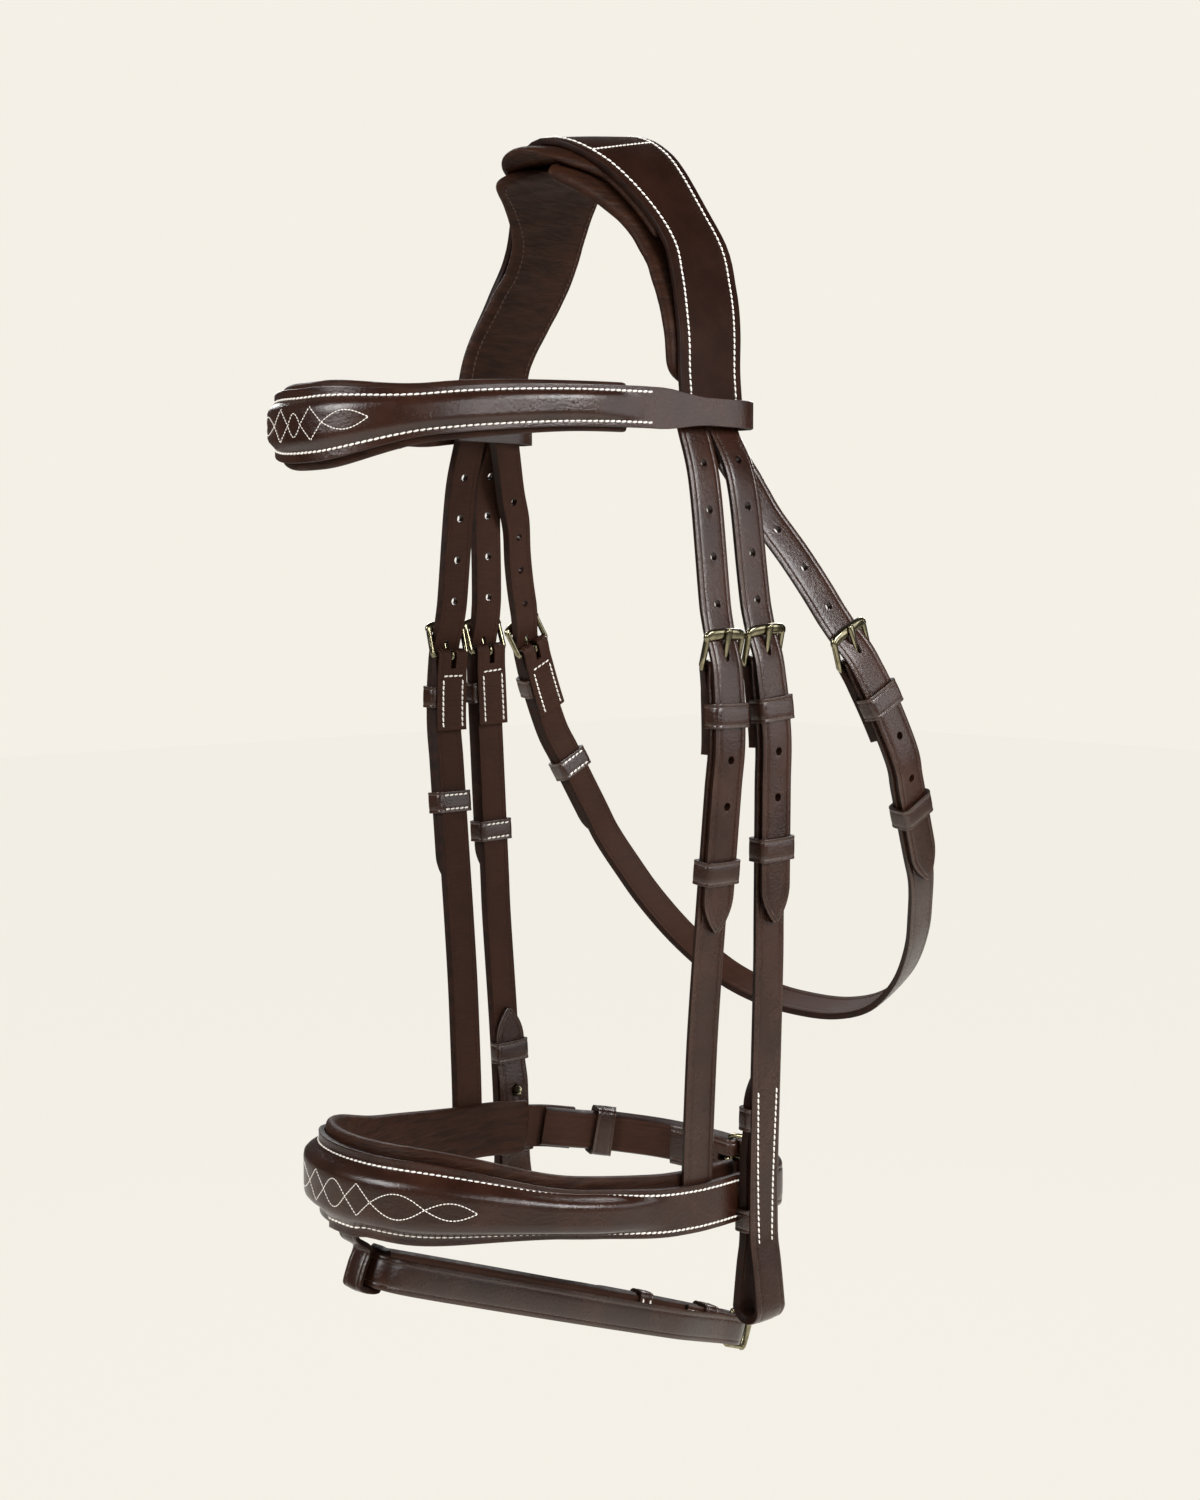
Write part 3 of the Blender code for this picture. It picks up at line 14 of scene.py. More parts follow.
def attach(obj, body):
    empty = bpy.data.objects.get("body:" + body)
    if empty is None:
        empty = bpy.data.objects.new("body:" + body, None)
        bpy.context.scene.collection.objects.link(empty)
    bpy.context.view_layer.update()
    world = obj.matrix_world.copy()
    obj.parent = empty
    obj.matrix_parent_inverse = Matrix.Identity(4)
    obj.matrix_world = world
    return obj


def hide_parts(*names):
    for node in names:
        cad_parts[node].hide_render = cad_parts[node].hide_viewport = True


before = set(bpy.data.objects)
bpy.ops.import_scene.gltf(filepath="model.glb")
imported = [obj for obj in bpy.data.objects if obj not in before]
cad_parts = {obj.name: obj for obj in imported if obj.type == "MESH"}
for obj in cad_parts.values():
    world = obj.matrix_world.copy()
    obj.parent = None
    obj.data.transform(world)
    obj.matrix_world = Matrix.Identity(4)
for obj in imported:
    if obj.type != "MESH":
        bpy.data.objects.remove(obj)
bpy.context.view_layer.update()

# Sizes of the leatherwork, the same as the solids'
HEAD_HALF_WIDTH = 0.0900
BROW_DROP = 0.1160
BUCKLE_DROP = 0.2190
NOSE_BUCKLE_DROP = 0.2208
NOSEBAND_DROP = 0.4500
BIT_DROP = 0.5070
BROW_FRONT = 0.1450
NOSE_FRONT = 0.1290
NOSE_HALF_WIDTH = 0.0808
NOSE_REAR = 0.0950
REAR_STRAP_WIDTH = 0.0180
REAR_BUCKLE_OFFSET = 0.0050
REAR_TAIL_LENGTH = 0.0800
REAR_KEEPER_REACH = 0.0720
REAR_KEEPER_SLACK = 0.0009
REAR_SETTLE_LENGTH = 0.0130
STRAP_WIDTH = 0.0160
STRAP_THICKNESS = 0.0030
HOLE_PITCH = 0.0195
HOLE_RADIUS = 0.0018
CLEARANCE = 0.0003
LAYER = STRAP_THICKNESS + CLEARANCE
CROWN_HALF_WIDTH = 0.0760
CROWN_LEATHER_THICKNESS = 0.0030
CROWN_PADDING_THICKNESS = 0.0040
SIDE_PAD_THICKNESS = 0.0050
CROWN_TOP_WIDTH = 0.0540
CROWN_SIDE_WIDTH = 0.0340
CROWN_PADDING_TOP_WIDTH = 0.0750
SIDE_PAD_WIDTH = 0.0390
SIDE_PAD_TOP_FRONT = 0.0430
SIDE_PAD_TOP_REAR = 0.0240
CROWN_SET_BACK = 0.0190
POLL_TILT = 0.1400
BROW_LEATHER_THICKNESS = 0.0026
BROW_SIDE_HEIGHT = 0.0165
BROW_MIDDLE_HEIGHT = 0.0180
BROW_FRONT_HEIGHT = 0.0290
BROW_PADDING_THICKNESS = 0.0045
BROW_PADDING_SIDE_HEIGHT = 0.0200
BROW_PADDING_FRONT_HEIGHT = 0.0350
BROW_BULGE = 0.0021
BROW_FRONT_DIP = 0.0085
BROW_HALF_WIDTH = 0.0812
BROW_LOOP_HEIGHT = 0.0115
NOSE_LEATHER_THICKNESS = 0.0026
NOSE_SIDE_HEIGHT = 0.0205
NOSE_FRONT_HEIGHT = 0.0350
NOSE_PADDING_THICKNESS = 0.0050
NOSE_PADDING_MARGIN = 0.0060
NOSE_PADDING_LIFT = 0.0014
NOSE_BULGE = 0.0032
NOSE_FRONT_LIFT = 0.0150
NOSE_REAR_DROP = 0.0130
NOSE_STRAP_CUT = 0.0010
BUCKLE_WIRE = 0.0013
BUCKLE_WINDOW = 0.0100
BUCKLE_SIDE_CLEARANCE = 0.0008
BUCKLE_RISE = 0.0046
BUCKLE_CORNER = 0.0030
PRONG_WIRE = 0.0008
PRONG_SLOT_WIDTH = 0.0032
NOSE_BACK = -0.0010
CHEEK_BACK = 0.0320
TAIL_LENGTH = 0.1100
TURN_BACK_LENGTH = 0.0360
TIP_LENGTH = 0.0110
UPPER_KEEPER_DROP = 0.0200
KEEPER_WIDTH = 0.0100
KEEPER_THICKNESS = 0.0018
KEEPER_DROPS = {
    "nose_left": 0.0850,
    "nose_right": 0.0700,
    "cheek_left": 0.0790,
    "cheek_right": 0.0880,
    "throat_left": 0.0740,
    "throat_right": 0.0680,
}
BIT_LOOP_RADIUS = 0.0065
BIT_LOOP_LENGTH = 0.0300
BIT_DROP_MARGIN = 0.0010
BILLET_LENGTH = 0.1120
STUD_HEIGHT = 0.0720
STUD_DISC_RADIUS = 0.0040
STUD_DISC_THICKNESS = 0.0010
STUD_POST_RADIUS = 0.0013
STUD_HEAD_RADIUS = 0.0024
STUD_HEAD_LENGTH = 0.0040
BILLET_KEEPER_HIGH = 0.0915
BILLET_KEEPER_LOW = 0.0400
THROAT_HALF_WIDTH = 0.1130
THROAT_LENGTH = 0.3230
THROAT_SLOPE = 0.5000
THROAT_BACK = 0.0090
FLASH_STRAP_WIDTH = 0.0130
FLASH_STRAP_THICKNESS = 0.0026
FLASH_FRONT = 0.1170
FLASH_DROP = 0.4700
FLASH_LENGTH = 0.2480
FLASH_HALF_SPREAD = 0.0160
FLASH_PITCH_DEGREES = 20.3
FLASH_LOOP_WIDTH = 0.0110
FLASH_LOOP_THICKNESS = 0.0024
FLASH_LOOP_PLAY = 0.0018
FLASH_LOOP_TAB_RISE = 0.0060
FLASH_TURN_BACK_LENGTH = 0.0300
FLASH_TAIL_LENGTH = 0.0950
FLASH_KEEPER_WIDTH = 0.0080
FLASH_KEEPER_DROPS = (0.0160, 0.0560)

# Finishing sizes, which only the visual model has
EDGE_ROUND = 0.0006
CREASE_DEPTH = 0.00034
STITCH_PITCH = 0.0026
STITCH_LENGTH = 0.0023
STITCH_RADIUS = 0.00043
FINE_STITCH_PITCH = 0.0015
FINE_STITCH_LENGTH = 0.0012
FINE_STITCH_RADIUS = 0.00020
BEND_TOLERANCE = 0.00002
LONGEST_ROW = 0.0060
EPSILON = 1e-12
STATION_STEPS = 8
RUN_SPACING = 0.0180
SIDES = ((1, "left"), (-1, "right"))


# Curves and frames
def blend(start, stop, share):
    return start + (stop - start) * share


def ease(share):
    share = min(1.0, max(0.0, share))
    return share * share * (3.0 - 2.0 * share)


def mirrored(vector, side):
    return Vector((vector.x * side, vector.y, vector.z))


def catmull(points, steps):
    """A smooth curve through the points, with this many steps a span."""
    ends = [points[0] * 2 - points[1]] + list(points) + [points[-1] * 2 - points[-2]]
    curve = []
    for i in range(1, len(ends) - 2):
        before, start, stop, after = ends[i - 1 : i + 3]
        for step in range(steps):
            t = step / steps
            linear = start * 2 + (stop - before) * t
            square = (before * 2 - start * 5 + stop * 4 - after) * (t * t)
            cube = (start * 3 - before - stop * 3 + after) * (t * t * t)
            curve.append((linear + square + cube) * 0.5)
    curve.append(points[-1].copy())
    return curve


class Spine:
    """A smooth line with a frame: t along it, w across the strap, n outwards."""

    def __init__(self, points, across, steps=12):
        self.points = catmull([Vector(p) for p in points], steps)
        self.across = Vector(across).normalized()
        self.lengths = [0.0]
        for a, b in zip(self.points, self.points[1:]):
            self.lengths.append(self.lengths[-1] + (b - a).length)
        self.length = self.lengths[-1]

    def position(self, s):
        """The point at length s, carried on in a straight line past either end."""
        last = len(self.points) - 2
        i = 0
        while i < last and self.lengths[i + 1] < s:
            i += 1
        share = (s - self.lengths[i]) / (self.lengths[i + 1] - self.lengths[i])
        return blend(self.points[i], self.points[i + 1], share)

    def frame(self, s):
        reach = self.length / len(self.points)
        t = (self.position(s + reach) - self.position(s - reach)).normalized()
        w = (self.across - t * self.across.dot(t)).normalized()
        return t, w, t.cross(w)

    def place(self, s, n, side=1, w=0.0):
        _, across, out = self.frame(s)
        return mirrored(self.position(s) + out * n + across * w, side)


def s_at_drop(spine, drop):
    """The length at which the spine has come down this far."""
    for i, (above, below) in enumerate(zip(spine.points, spine.points[1:])):
        if above.z >= -drop > below.z:
            share = (above.z + drop) / (above.z - below.z)
            return blend(spine.lengths[i], spine.lengths[i + 1], share)
    return spine.length


def run_of(start, stop):
    """Lengths from start to stop, both included, no further apart than the spacing."""
    count = max(1, math.ceil((stop - start) / RUN_SPACING))
    return [blend(start, stop, i / count) for i in range(count + 1)]


def thin(points, tolerance=BEND_TOLERANCE):
    """Indices of the fewest points that keep straight lines between them this near the curve."""
    kept = {0, len(points) - 1}
    spans = [(0, len(points) - 1)]
    while spans:
        start, stop = spans.pop()
        line = points[stop] - points[start]
        worst, found = tolerance, None
        for i in range(start + 1, stop):
            off = points[i] - points[start]
            away = (off - line * (off.dot(line) / max(line.length_squared, EPSILON))).length
            if away > worst:
                worst, found = away, i
        if found is None and line.length > LONGEST_ROW and stop - start > 1:
            found = (start + stop) // 2
        if found:
            kept.add(found)
            spans += [(start, found), (found, stop)]
    return sorted(kept)


# Spines
CROWN_X_SHARES = (0.0, 0.355, 0.680, 0.822, 0.926, 0.966, 1.0)
CROWN_Z_SHARES = (0.0, 0.097, 0.368, 0.544, 0.717, 0.868, 1.0)
CROWN_Y_SHARES = (0.32, 0.62, 1.0, 0.86, 0.60, 0.47, 0.42)
CROWN_TOP = CROWN_PADDING_THICKNESS + CLEARANCE + CROWN_LEATHER_THICKNESS / 2
NOSE_UPPER_SHARES = ((0.890, 0.318), (0.945, 0.400), (0.990, 0.482))
NOSE_RUN_SHARES = ((1.008, 0.556), (0.905, 0.771))
NOSE_LOWER_SHARES = ((0.876, 0.840), (0.858, 0.905), (0.848, 0.950), (0.8445, 0.980), (0.8445, 1.0))
CHEEK_UPPER_SHARES = ((0.930, 0.545, 0.282), (0.972, 0.635, 0.358), (1.006, 0.725, 0.436))
CHEEK_RUN_SHARES = ((1.022, 0.800, 0.493), (0.989, 0.888, 0.690))
CHEEK_LOWER_SHARES = ((0.958, 0.940, 0.790), (0.938, 0.970, 0.870), (0.935, 0.985, 0.930), (0.935, 1.0, 1.0))
CHEEK_TOP_SHARE = 0.500
RUN_STEPS = 5
THROAT_UPPER_SHARES = (
    (0.592, 0.0),
    (0.598, 0.040),
    (0.686, 0.126),
    (0.727, 0.176),
    (0.800, 0.230),
    (0.862, 0.285),
    (0.900, 0.330),
)
THROAT_MIDDLE_SHARES = ((0.937, 0.385), (0.972, 0.455))
THROAT_RUN_SHARES = ((0.990, 0.530), (0.905, 0.725))
THROAT_LOWER_SHARES = ((0.862, 0.780), (0.775, 0.845), (0.640, 0.910), (0.450, 0.965), (0.230, 0.993), (0.0, 1.0))


def crown_points():
    points = []
    for x, y, z in zip(CROWN_X_SHARES, CROWN_Y_SHARES, CROWN_Z_SHARES):
        drop = CROWN_TOP - (BROW_DROP + CROWN_TOP) * z
        points.append(Vector((CROWN_HALF_WIDTH * x, CROWN_SET_BACK * y, drop)))
    return [mirrored(p, -1) for p in reversed(points[1:])] + points


def run_points(shares):
    start, stop = shares
    steps = range(RUN_STEPS + 1)
    return [tuple(blend(a, b, i / RUN_STEPS) for a, b in zip(start, stop)) for i in steps]


CROWN = Spine(crown_points(), (0, 1, POLL_TILT), steps=6)


def strap_start(back):
    """The top of a strap that leaves the crown, one layer inside the crown leather's lower end."""
    s = CROWN.length
    t, _, out = CROWN.frame(s)
    first = CROWN.position(s) - out * (LAYER + CLEARANCE)
    lift = t * (BROW_SIDE_HEIGHT / 2)
    return [Vector((p.x, back, p.z)) for p in (first - lift, first + lift / 2)]


def nose_points():
    points = strap_start(NOSE_BACK)
    for x, z in NOSE_UPPER_SHARES + tuple(run_points(NOSE_RUN_SHARES)) + NOSE_LOWER_SHARES:
        points.append(Vector((HEAD_HALF_WIDTH * x, NOSE_BACK, -NOSEBAND_DROP * z)))
    return points


def cheek_points():
    points = strap_start(CHEEK_BACK * CHEEK_TOP_SHARE)
    for x, y, z in CHEEK_UPPER_SHARES + tuple(run_points(CHEEK_RUN_SHARES)) + CHEEK_LOWER_SHARES:
        points.append(Vector((HEAD_HALF_WIDTH * x, CHEEK_BACK * y, -BIT_DROP * z)))
    return points


def throat_points():
    """From the left side of the headpiece down round the jaw and up to the right side."""
    down = Vector((0, THROAT_SLOPE, -1)).normalized()
    start = Vector((0, THROAT_BACK, -BROW_DROP + BROW_SIDE_HEIGHT * 0.5))
    shares = THROAT_UPPER_SHARES + THROAT_MIDDLE_SHARES + tuple(run_points(THROAT_RUN_SHARES))
    points = []
    for x, q in shares + THROAT_LOWER_SHARES:
        point = start + down * THROAT_LENGTH * q
        points.append(Vector((THROAT_HALF_WIDTH * x, point.y, point.z)))
    return points + [mirrored(p, -1) for p in reversed(points[:-1])]


NOSE = Spine(nose_points(), (0, 1, 0))
CHEEK = Spine(cheek_points(), (0, 1, 0))
THROAT = Spine(throat_points(), (0, 1, THROAT_SLOPE), steps=8)
NOSE_BAR = s_at_drop(NOSE, NOSE_BUCKLE_DROP)
CHEEK_BAR = s_at_drop(CHEEK, BUCKLE_DROP)
THROAT_BAR = s_at_drop(THROAT, BUCKLE_DROP)

# Finishes
LEATHER_DARK = (0.0205, 0.0064, 0.0032, 1.0)
LEATHER_WARM = (0.0370, 0.0132, 0.0072, 1.0)
CROWN_DARK = (0.0150, 0.0048, 0.0025, 1.0)
CROWN_WARM = (0.0240, 0.0085, 0.0046, 1.0)
LEATHER_RUBBED = (0.0700, 0.0400, 0.0270, 1.0)
# The crease lip's pale colour is a painted highlight.
LIP_PAINTED_HIGHLIGHT = (0.1250, 0.0850, 0.0650, 1.0)
# The dyed edge's colour, also used as painted shade in the strap crease.
EDGE_DYE_AND_CREASE_SHADE = (0.0120, 0.0055, 0.0035, 1.0)
FLESH_BROWN = (0.0480, 0.0200, 0.0120, 1.0)
FLESH_DARK = (0.0270, 0.0110, 0.0065, 1.0)
LINING_BROWN = (0.0340, 0.0115, 0.0048, 1.0)
LINING_DARK = (0.0190, 0.0065, 0.0032, 1.0)
STEEL = (0.300, 0.270, 0.175, 1.0)
STEEL_SHADE = (0.170, 0.150, 0.090, 1.0)
CREAM = (0.980, 0.930, 0.860, 1.0)
CREAM_SHADE = (0.820, 0.740, 0.640, 1.0)
BROWN_THREAD = (0.0600, 0.0260, 0.0150, 1.0)
CORE_GREY = (0.100, 0.090, 0.080, 1.0)


def node(tree, kind, inputs=None, **settings):
    """Adds a node; inputs sets its sockets, with a value or a link from another socket."""
    made = tree.nodes.new(kind)
    for key, value in settings.items():
        setattr(made, key, value)
    for key, value in (inputs or {}).items():
        if isinstance(value, bpy.types.NodeSocket):
            tree.links.new(value, made.inputs[key])
        else:
            made.inputs[key].default_value = value
    return made


def group(name, inputs, outputs):
    """An empty shader node group with these sockets: (name, type, default)."""
    tree = bpy.data.node_groups.new(name, "ShaderNodeTree")
    for label, kind, default in inputs:
        socket = tree.interface.new_socket(label, in_out="INPUT", socket_type=kind)
        if default is not None:
            socket.default_value = default
    for label, kind in outputs:
        tree.interface.new_socket(label, in_out="OUTPUT", socket_type=kind)
    return tree, tree.nodes.new("NodeGroupInput"), tree.nodes.new("NodeGroupOutput")


def grain_group():
    """Leather grain: small rounded cells with fine pores, as a height."""
    tree, given, result = group(
        "leather_grain",
        [("Vector", "NodeSocketVector", None), ("Scale", "NodeSocketFloat", 1400.0)],
        [("Height", "NodeSocketFloat"), ("Tone", "NodeSocketFloat")],
    )
    vector, scale = given.outputs["Vector"], given.outputs["Scale"]
    cells = node(tree, "ShaderNodeTexVoronoi", {"Vector": vector, "Scale": scale}, feature="SMOOTH_F1")
    fine = node(tree, "ShaderNodeMath", {0: scale, 1: 3.1}, operation="MULTIPLY")
    pores = node(tree, "ShaderNodeTexNoise", {"Vector": vector, "Scale": fine.outputs[0], "Detail": 2.0})
    height = node(tree, "ShaderNodeMath", {0: cells.outputs["Distance"], 1: pores.outputs["Fac"]}, operation="SUBTRACT")
    coarse = node(tree, "ShaderNodeMath", {0: scale, 1: 0.05}, operation="MULTIPLY")
    cloud = node(tree, "ShaderNodeTexNoise", {"Vector": vector, "Scale": coarse.outputs[0], "Detail": 5.0, "Roughness": 0.6})
    tree.links.new(height.outputs[0], result.inputs["Height"])
    tree.links.new(cloud.outputs["Fac"], result.inputs["Tone"])
    return tree


def edge_wear_and_crease_light_group():
    """From the distance to the strap's edge in a UV map: rubbed edges, painted shade along the crease and a painted
    highlight on the crease's lip.
    """
    tree, given, result = group(
        "edge_wear_and_crease_light",
        [("UV", "NodeSocketVector", None), ("Tone", "NodeSocketFloat", 0.5), ("Crease", "NodeSocketFloat", 0.00172)],
        [("Rubbed", "NodeSocketFloat"), ("Line", "NodeSocketFloat"), ("LipPaintedHighlight", "NodeSocketFloat")],
    )
    split = node(tree, "ShaderNodeSeparateXYZ", {"Vector": given.outputs["UV"]})
    near = node(
        tree,
        "ShaderNodeMapRange",
        {"Value": split.outputs["Y"], "From Min": 0.0013, "From Max": 0.0004, "To Min": 0.0, "To Max": 0.55},
    )
    wear_and_crease_light = node(tree, "ShaderNodeMath", {0: near.outputs[0], 1: given.outputs["Tone"]}, operation="MULTIPLY")
    off = node(tree, "ShaderNodeMath", {0: split.outputs["Y"], 1: given.outputs["Crease"]}, operation="SUBTRACT")
    away = node(tree, "ShaderNodeMath", {0: off.outputs[0]}, operation="ABSOLUTE")
    # Painted shade: a dark line in the crease groove.
    line = node(
        tree,
        "ShaderNodeMapRange",
        {"Value": away.outputs[0], "From Min": 0.00036, "From Max": 0.00012, "To Min": 0.0, "To Max": 1.0},
    )
    beside = node(tree, "ShaderNodeMath", {0: off.outputs[0], 1: 0.00052}, operation="SUBTRACT")
    from_lip = node(tree, "ShaderNodeMath", {0: beside.outputs[0]}, operation="ABSOLUTE")
    # Painted highlight: a pale band on the crease's lip, broken into patches.
    lip = node(
        tree,
        "ShaderNodeMapRange",
        {"Value": from_lip.outputs[0], "From Min": 0.00026, "From Max": 0.00006, "To Min": 0.0, "To Max": 1.0},
    )
    broken = node(tree, "ShaderNodeTexNoise", {"Vector": given.outputs["UV"], "Scale": 420.0, "Detail": 3.0})
    patches = node(
        tree,
        "ShaderNodeMapRange",
        {"Value": broken.outputs["Fac"], "From Min": 0.36, "From Max": 0.62, "To Min": 0.15, "To Max": 0.9},
    )
    lit = node(tree, "ShaderNodeMath", {0: lip.outputs[0], 1: patches.outputs[0]}, operation="MULTIPLY")
    tree.links.new(lit.outputs[0], result.inputs["LipPaintedHighlight"])
    tree.links.new(wear_and_crease_light.outputs[0], result.inputs["Rubbed"])
    tree.links.new(line.outputs[0], result.inputs["Line"])
    return tree


GRAIN = grain_group()
EDGE_WEAR_AND_CREASE_LIGHT = edge_wear_and_crease_light_group()


def new_material(name):
    material = bpy.data.materials.new(name)
    material.use_nodes = True
    tree = material.node_tree
    tree.nodes.clear()
    shader = tree.nodes.new("ShaderNodeBsdfPrincipled")
    output = tree.nodes.new("ShaderNodeOutputMaterial")
    tree.links.new(shader.outputs["BSDF"], output.inputs["Surface"])
    return material, tree, shader


def mixed(tree, factor, first, second, blend_type="MIX"):
    mix = node(tree, "ShaderNodeMix", data_type="RGBA", blend_type=blend_type)
    for socket, value in ((mix.inputs[0], factor), (mix.inputs[6], first), (mix.inputs[7], second)):
        if isinstance(value, bpy.types.NodeSocket):
            tree.links.new(value, socket)
        else:
            socket.default_value = value
    return mix.outputs[2]


def ranged(tree, value, low, high, start=0.0, stop=1.0):
    return node(
        tree,
        "ShaderNodeMapRange",
        {"Value": value, "From Min": start, "From Max": stop, "To Min": low, "To Max": high},
    ).outputs[0]


def bumped(tree, height, strength, distance):
    return node(tree, "ShaderNodeBump", {"Height": height, "Strength": strength, "Distance": distance}).outputs[0]


def smooth_leather(name, dark, warm, rough, grain=850.0, bump=0.60, wear_and_crease_light=True, crease=0.00172, gloss=0.30):
    """The waxed grain side of bridle leather."""
    material, tree, shader = new_material(name)
    place = node(tree, "ShaderNodeTexCoord")
    surface = place.outputs["Object"]
    cells = node(tree, "ShaderNodeGroup", node_tree=GRAIN)
    tree.links.new(surface, cells.inputs["Vector"])
    cells.inputs["Scale"].default_value = grain
    tone = cells.outputs["Tone"]
    colour = mixed(tree, ranged(tree, tone, 0.0, 1.0, 0.38, 0.66), dark, warm)
    roughness = ranged(tree, tone, rough - 0.01, rough + 0.03, 0.35, 0.68)
    # Rubbed edges, with a painted highlight on the crease lip and painted shade along the crease.
    if wear_and_crease_light:
        edge = node(tree, "ShaderNodeGroup", node_tree=EDGE_WEAR_AND_CREASE_LIGHT)
        tree.links.new(place.outputs["UV"], edge.inputs["UV"])
        tree.links.new(tone, edge.inputs["Tone"])
        edge.inputs["Crease"].default_value = crease
        colour = mixed(tree, edge.outputs["Rubbed"], colour, LEATHER_RUBBED)
        # Painted highlight along the crease lip.
        colour = mixed(tree, edge.outputs["LipPaintedHighlight"], colour, LIP_PAINTED_HIGHLIGHT)
        # Painted shade along the crease groove.
        colour = mixed(tree, edge.outputs["Line"], colour, EDGE_DYE_AND_CREASE_SHADE)
    tree.links.new(colour, shader.inputs["Base Color"])
    tree.links.new(roughness, shader.inputs["Roughness"])
    tree.links.new(bumped(tree, cells.outputs["Height"], bump, 0.00016), shader.inputs["Normal"])
    shader.inputs["Specular IOR Level"].default_value = gloss
    return material


def flesh_leather(name):
    """The suede-like inner side: paler, dull, with fine slanting strokes."""
    material, tree, shader = new_material(name)
    surface = node(tree, "ShaderNodeTexCoord").outputs["Object"]
    turned = node(tree, "ShaderNodeMapping", {"Vector": surface, "Rotation": (math.radians(38), 0.0, 0.0), "Scale": (60.0, 150.0, 1500.0)})
    strokes = node(tree, "ShaderNodeTexNoise", {"Vector": turned.outputs[0], "Scale": 1.0, "Detail": 3.0, "Roughness": 0.6})
    cloud = node(tree, "ShaderNodeTexNoise", {"Vector": surface, "Scale": 70.0, "Detail": 4.0})
    share = mixed(tree, 0.35, strokes.outputs["Color"], cloud.outputs["Color"])
    value = node(tree, "ShaderNodeRGBToBW", {"Color": share}).outputs[0]
    colour = mixed(tree, ranged(tree, value, 0.0, 1.0, 0.36, 0.64), FLESH_DARK, FLESH_BROWN)
    tree.links.new(colour, shader.inputs["Base Color"])
    tree.links.new(ranged(tree, value, 0.52, 0.72, 0.3, 0.7), shader.inputs["Roughness"])
    tree.links.new(bumped(tree, value, 0.35, 0.00020), shader.inputs["Normal"])
    shader.inputs["Specular IOR Level"].default_value = 0.12
    return material


def edge_paint(name):
    """The dyed and burnished edge of a strap."""
    material, tree, shader = new_material(name)
    surface = node(tree, "ShaderNodeTexCoord").outputs["Object"]
    cloud = node(tree, "ShaderNodeTexNoise", {"Vector": surface, "Scale": 260.0, "Detail": 4.0})
    value = cloud.outputs["Fac"]
    tree.links.new(mixed(tree, ranged(tree, value, 0.0, 1.0, 0.4, 0.62), EDGE_DYE_AND_CREASE_SHADE, LEATHER_DARK), shader.inputs["Base Color"])
    tree.links.new(ranged(tree, value, 0.40, 0.55, 0.3, 0.7), shader.inputs["Roughness"])
    tree.links.new(bumped(tree, value, 0.20, 0.00015), shader.inputs["Normal"])
    shader.inputs["Specular IOR Level"].default_value = 0.15
    return material


def soft_lining(name):
    """Thin lining leather drawn over foam, with shallow wrinkles across it."""
    material, tree, shader = new_material(name)
    surface = node(tree, "ShaderNodeTexCoord").outputs["Object"]
    folds = node(tree, "ShaderNodeMapping", {"Vector": surface, "Scale": (90.0, 70.0, 420.0)})
    wrinkles = node(tree, "ShaderNodeTexNoise", {"Vector": folds.outputs[0], "Scale": 1.0, "Detail": 4.0, "Roughness": 0.55, "Distortion": 0.4})
    cells = node(tree, "ShaderNodeGroup", node_tree=GRAIN)
    tree.links.new(surface, cells.inputs["Vector"])
    cells.inputs["Scale"].default_value = 1100.0
    value = wrinkles.outputs["Fac"]
    fine = node(tree, "ShaderNodeMath", {0: cells.outputs["Height"], 1: 0.12}, operation="MULTIPLY").outputs[0]
    height = node(tree, "ShaderNodeMath", {0: value, 1: fine}, operation="ADD").outputs[0]
    tree.links.new(mixed(tree, ranged(tree, value, 0.0, 1.0, 0.36, 0.66), LINING_DARK, LINING_BROWN), shader.inputs["Base Color"])
    tree.links.new(ranged(tree, value, 0.60, 0.48, 0.3, 0.7), shader.inputs["Roughness"])
    tree.links.new(bumped(tree, height, 0.80, 0.00090), shader.inputs["Normal"])
    shader.inputs["Specular IOR Level"].default_value = 0.14
    return material


def polished_steel(name):
    material, tree, shader = new_material(name)
    surface = node(tree, "ShaderNodeTexCoord").outputs["Object"]
    cloud = node(tree, "ShaderNodeTexNoise", {"Vector": surface, "Scale": 320.0, "Detail": 3.0})
    scratches = node(tree, "ShaderNodeTexNoise", {"Vector": surface, "Scale": 2400.0, "Detail": 2.0})
    value = cloud.outputs["Fac"]
    tree.links.new(mixed(tree, ranged(tree, value, 0.0, 1.0, 0.35, 0.7), STEEL, STEEL_SHADE), shader.inputs["Base Color"])
    tree.links.new(ranged(tree, value, 0.10, 0.24, 0.3, 0.7), shader.inputs["Roughness"])
    tree.links.new(bumped(tree, scratches.outputs["Fac"], 0.06, 0.00005), shader.inputs["Normal"])
    shader.inputs["Metallic"].default_value = 1.0
    return material


def waxed_thread(name, pale, shade):
    """Twisted thread: fine slanting plies."""
    material, tree, shader = new_material(name)
    surface = node(tree, "ShaderNodeTexCoord").outputs["Object"]
    plies = node(tree, "ShaderNodeTexNoise", {"Vector": surface, "Scale": 2600.0, "Detail": 2.0})
    value = plies.outputs["Fac"]
    tree.links.new(mixed(tree, ranged(tree, value, 0.0, 1.0, 0.55, 0.75), pale, shade), shader.inputs["Base Color"])
    tree.links.new(ranged(tree, value, 0.55, 0.75, 0.3, 0.7), shader.inputs["Roughness"])
    tree.links.new(bumped(tree, value, 0.3, 0.00010), shader.inputs["Normal"])
    return material


def grey_felt(name):
    material, tree, shader = new_material(name)
    surface = node(tree, "ShaderNodeTexCoord").outputs["Object"]
    fibres = node(tree, "ShaderNodeTexNoise", {"Vector": surface, "Scale": 900.0, "Detail": 6.0})
    tree.links.new(mixed(tree, fibres.outputs["Fac"], CORE_GREY, LINING_DARK), shader.inputs["Base Color"])
    tree.links.new(ranged(tree, fibres.outputs["Fac"], 0.8, 1.0), shader.inputs["Roughness"])
    tree.links.new(bumped(tree, fibres.outputs["Fac"], 0.5, 0.0003), shader.inputs["Normal"])
    return material


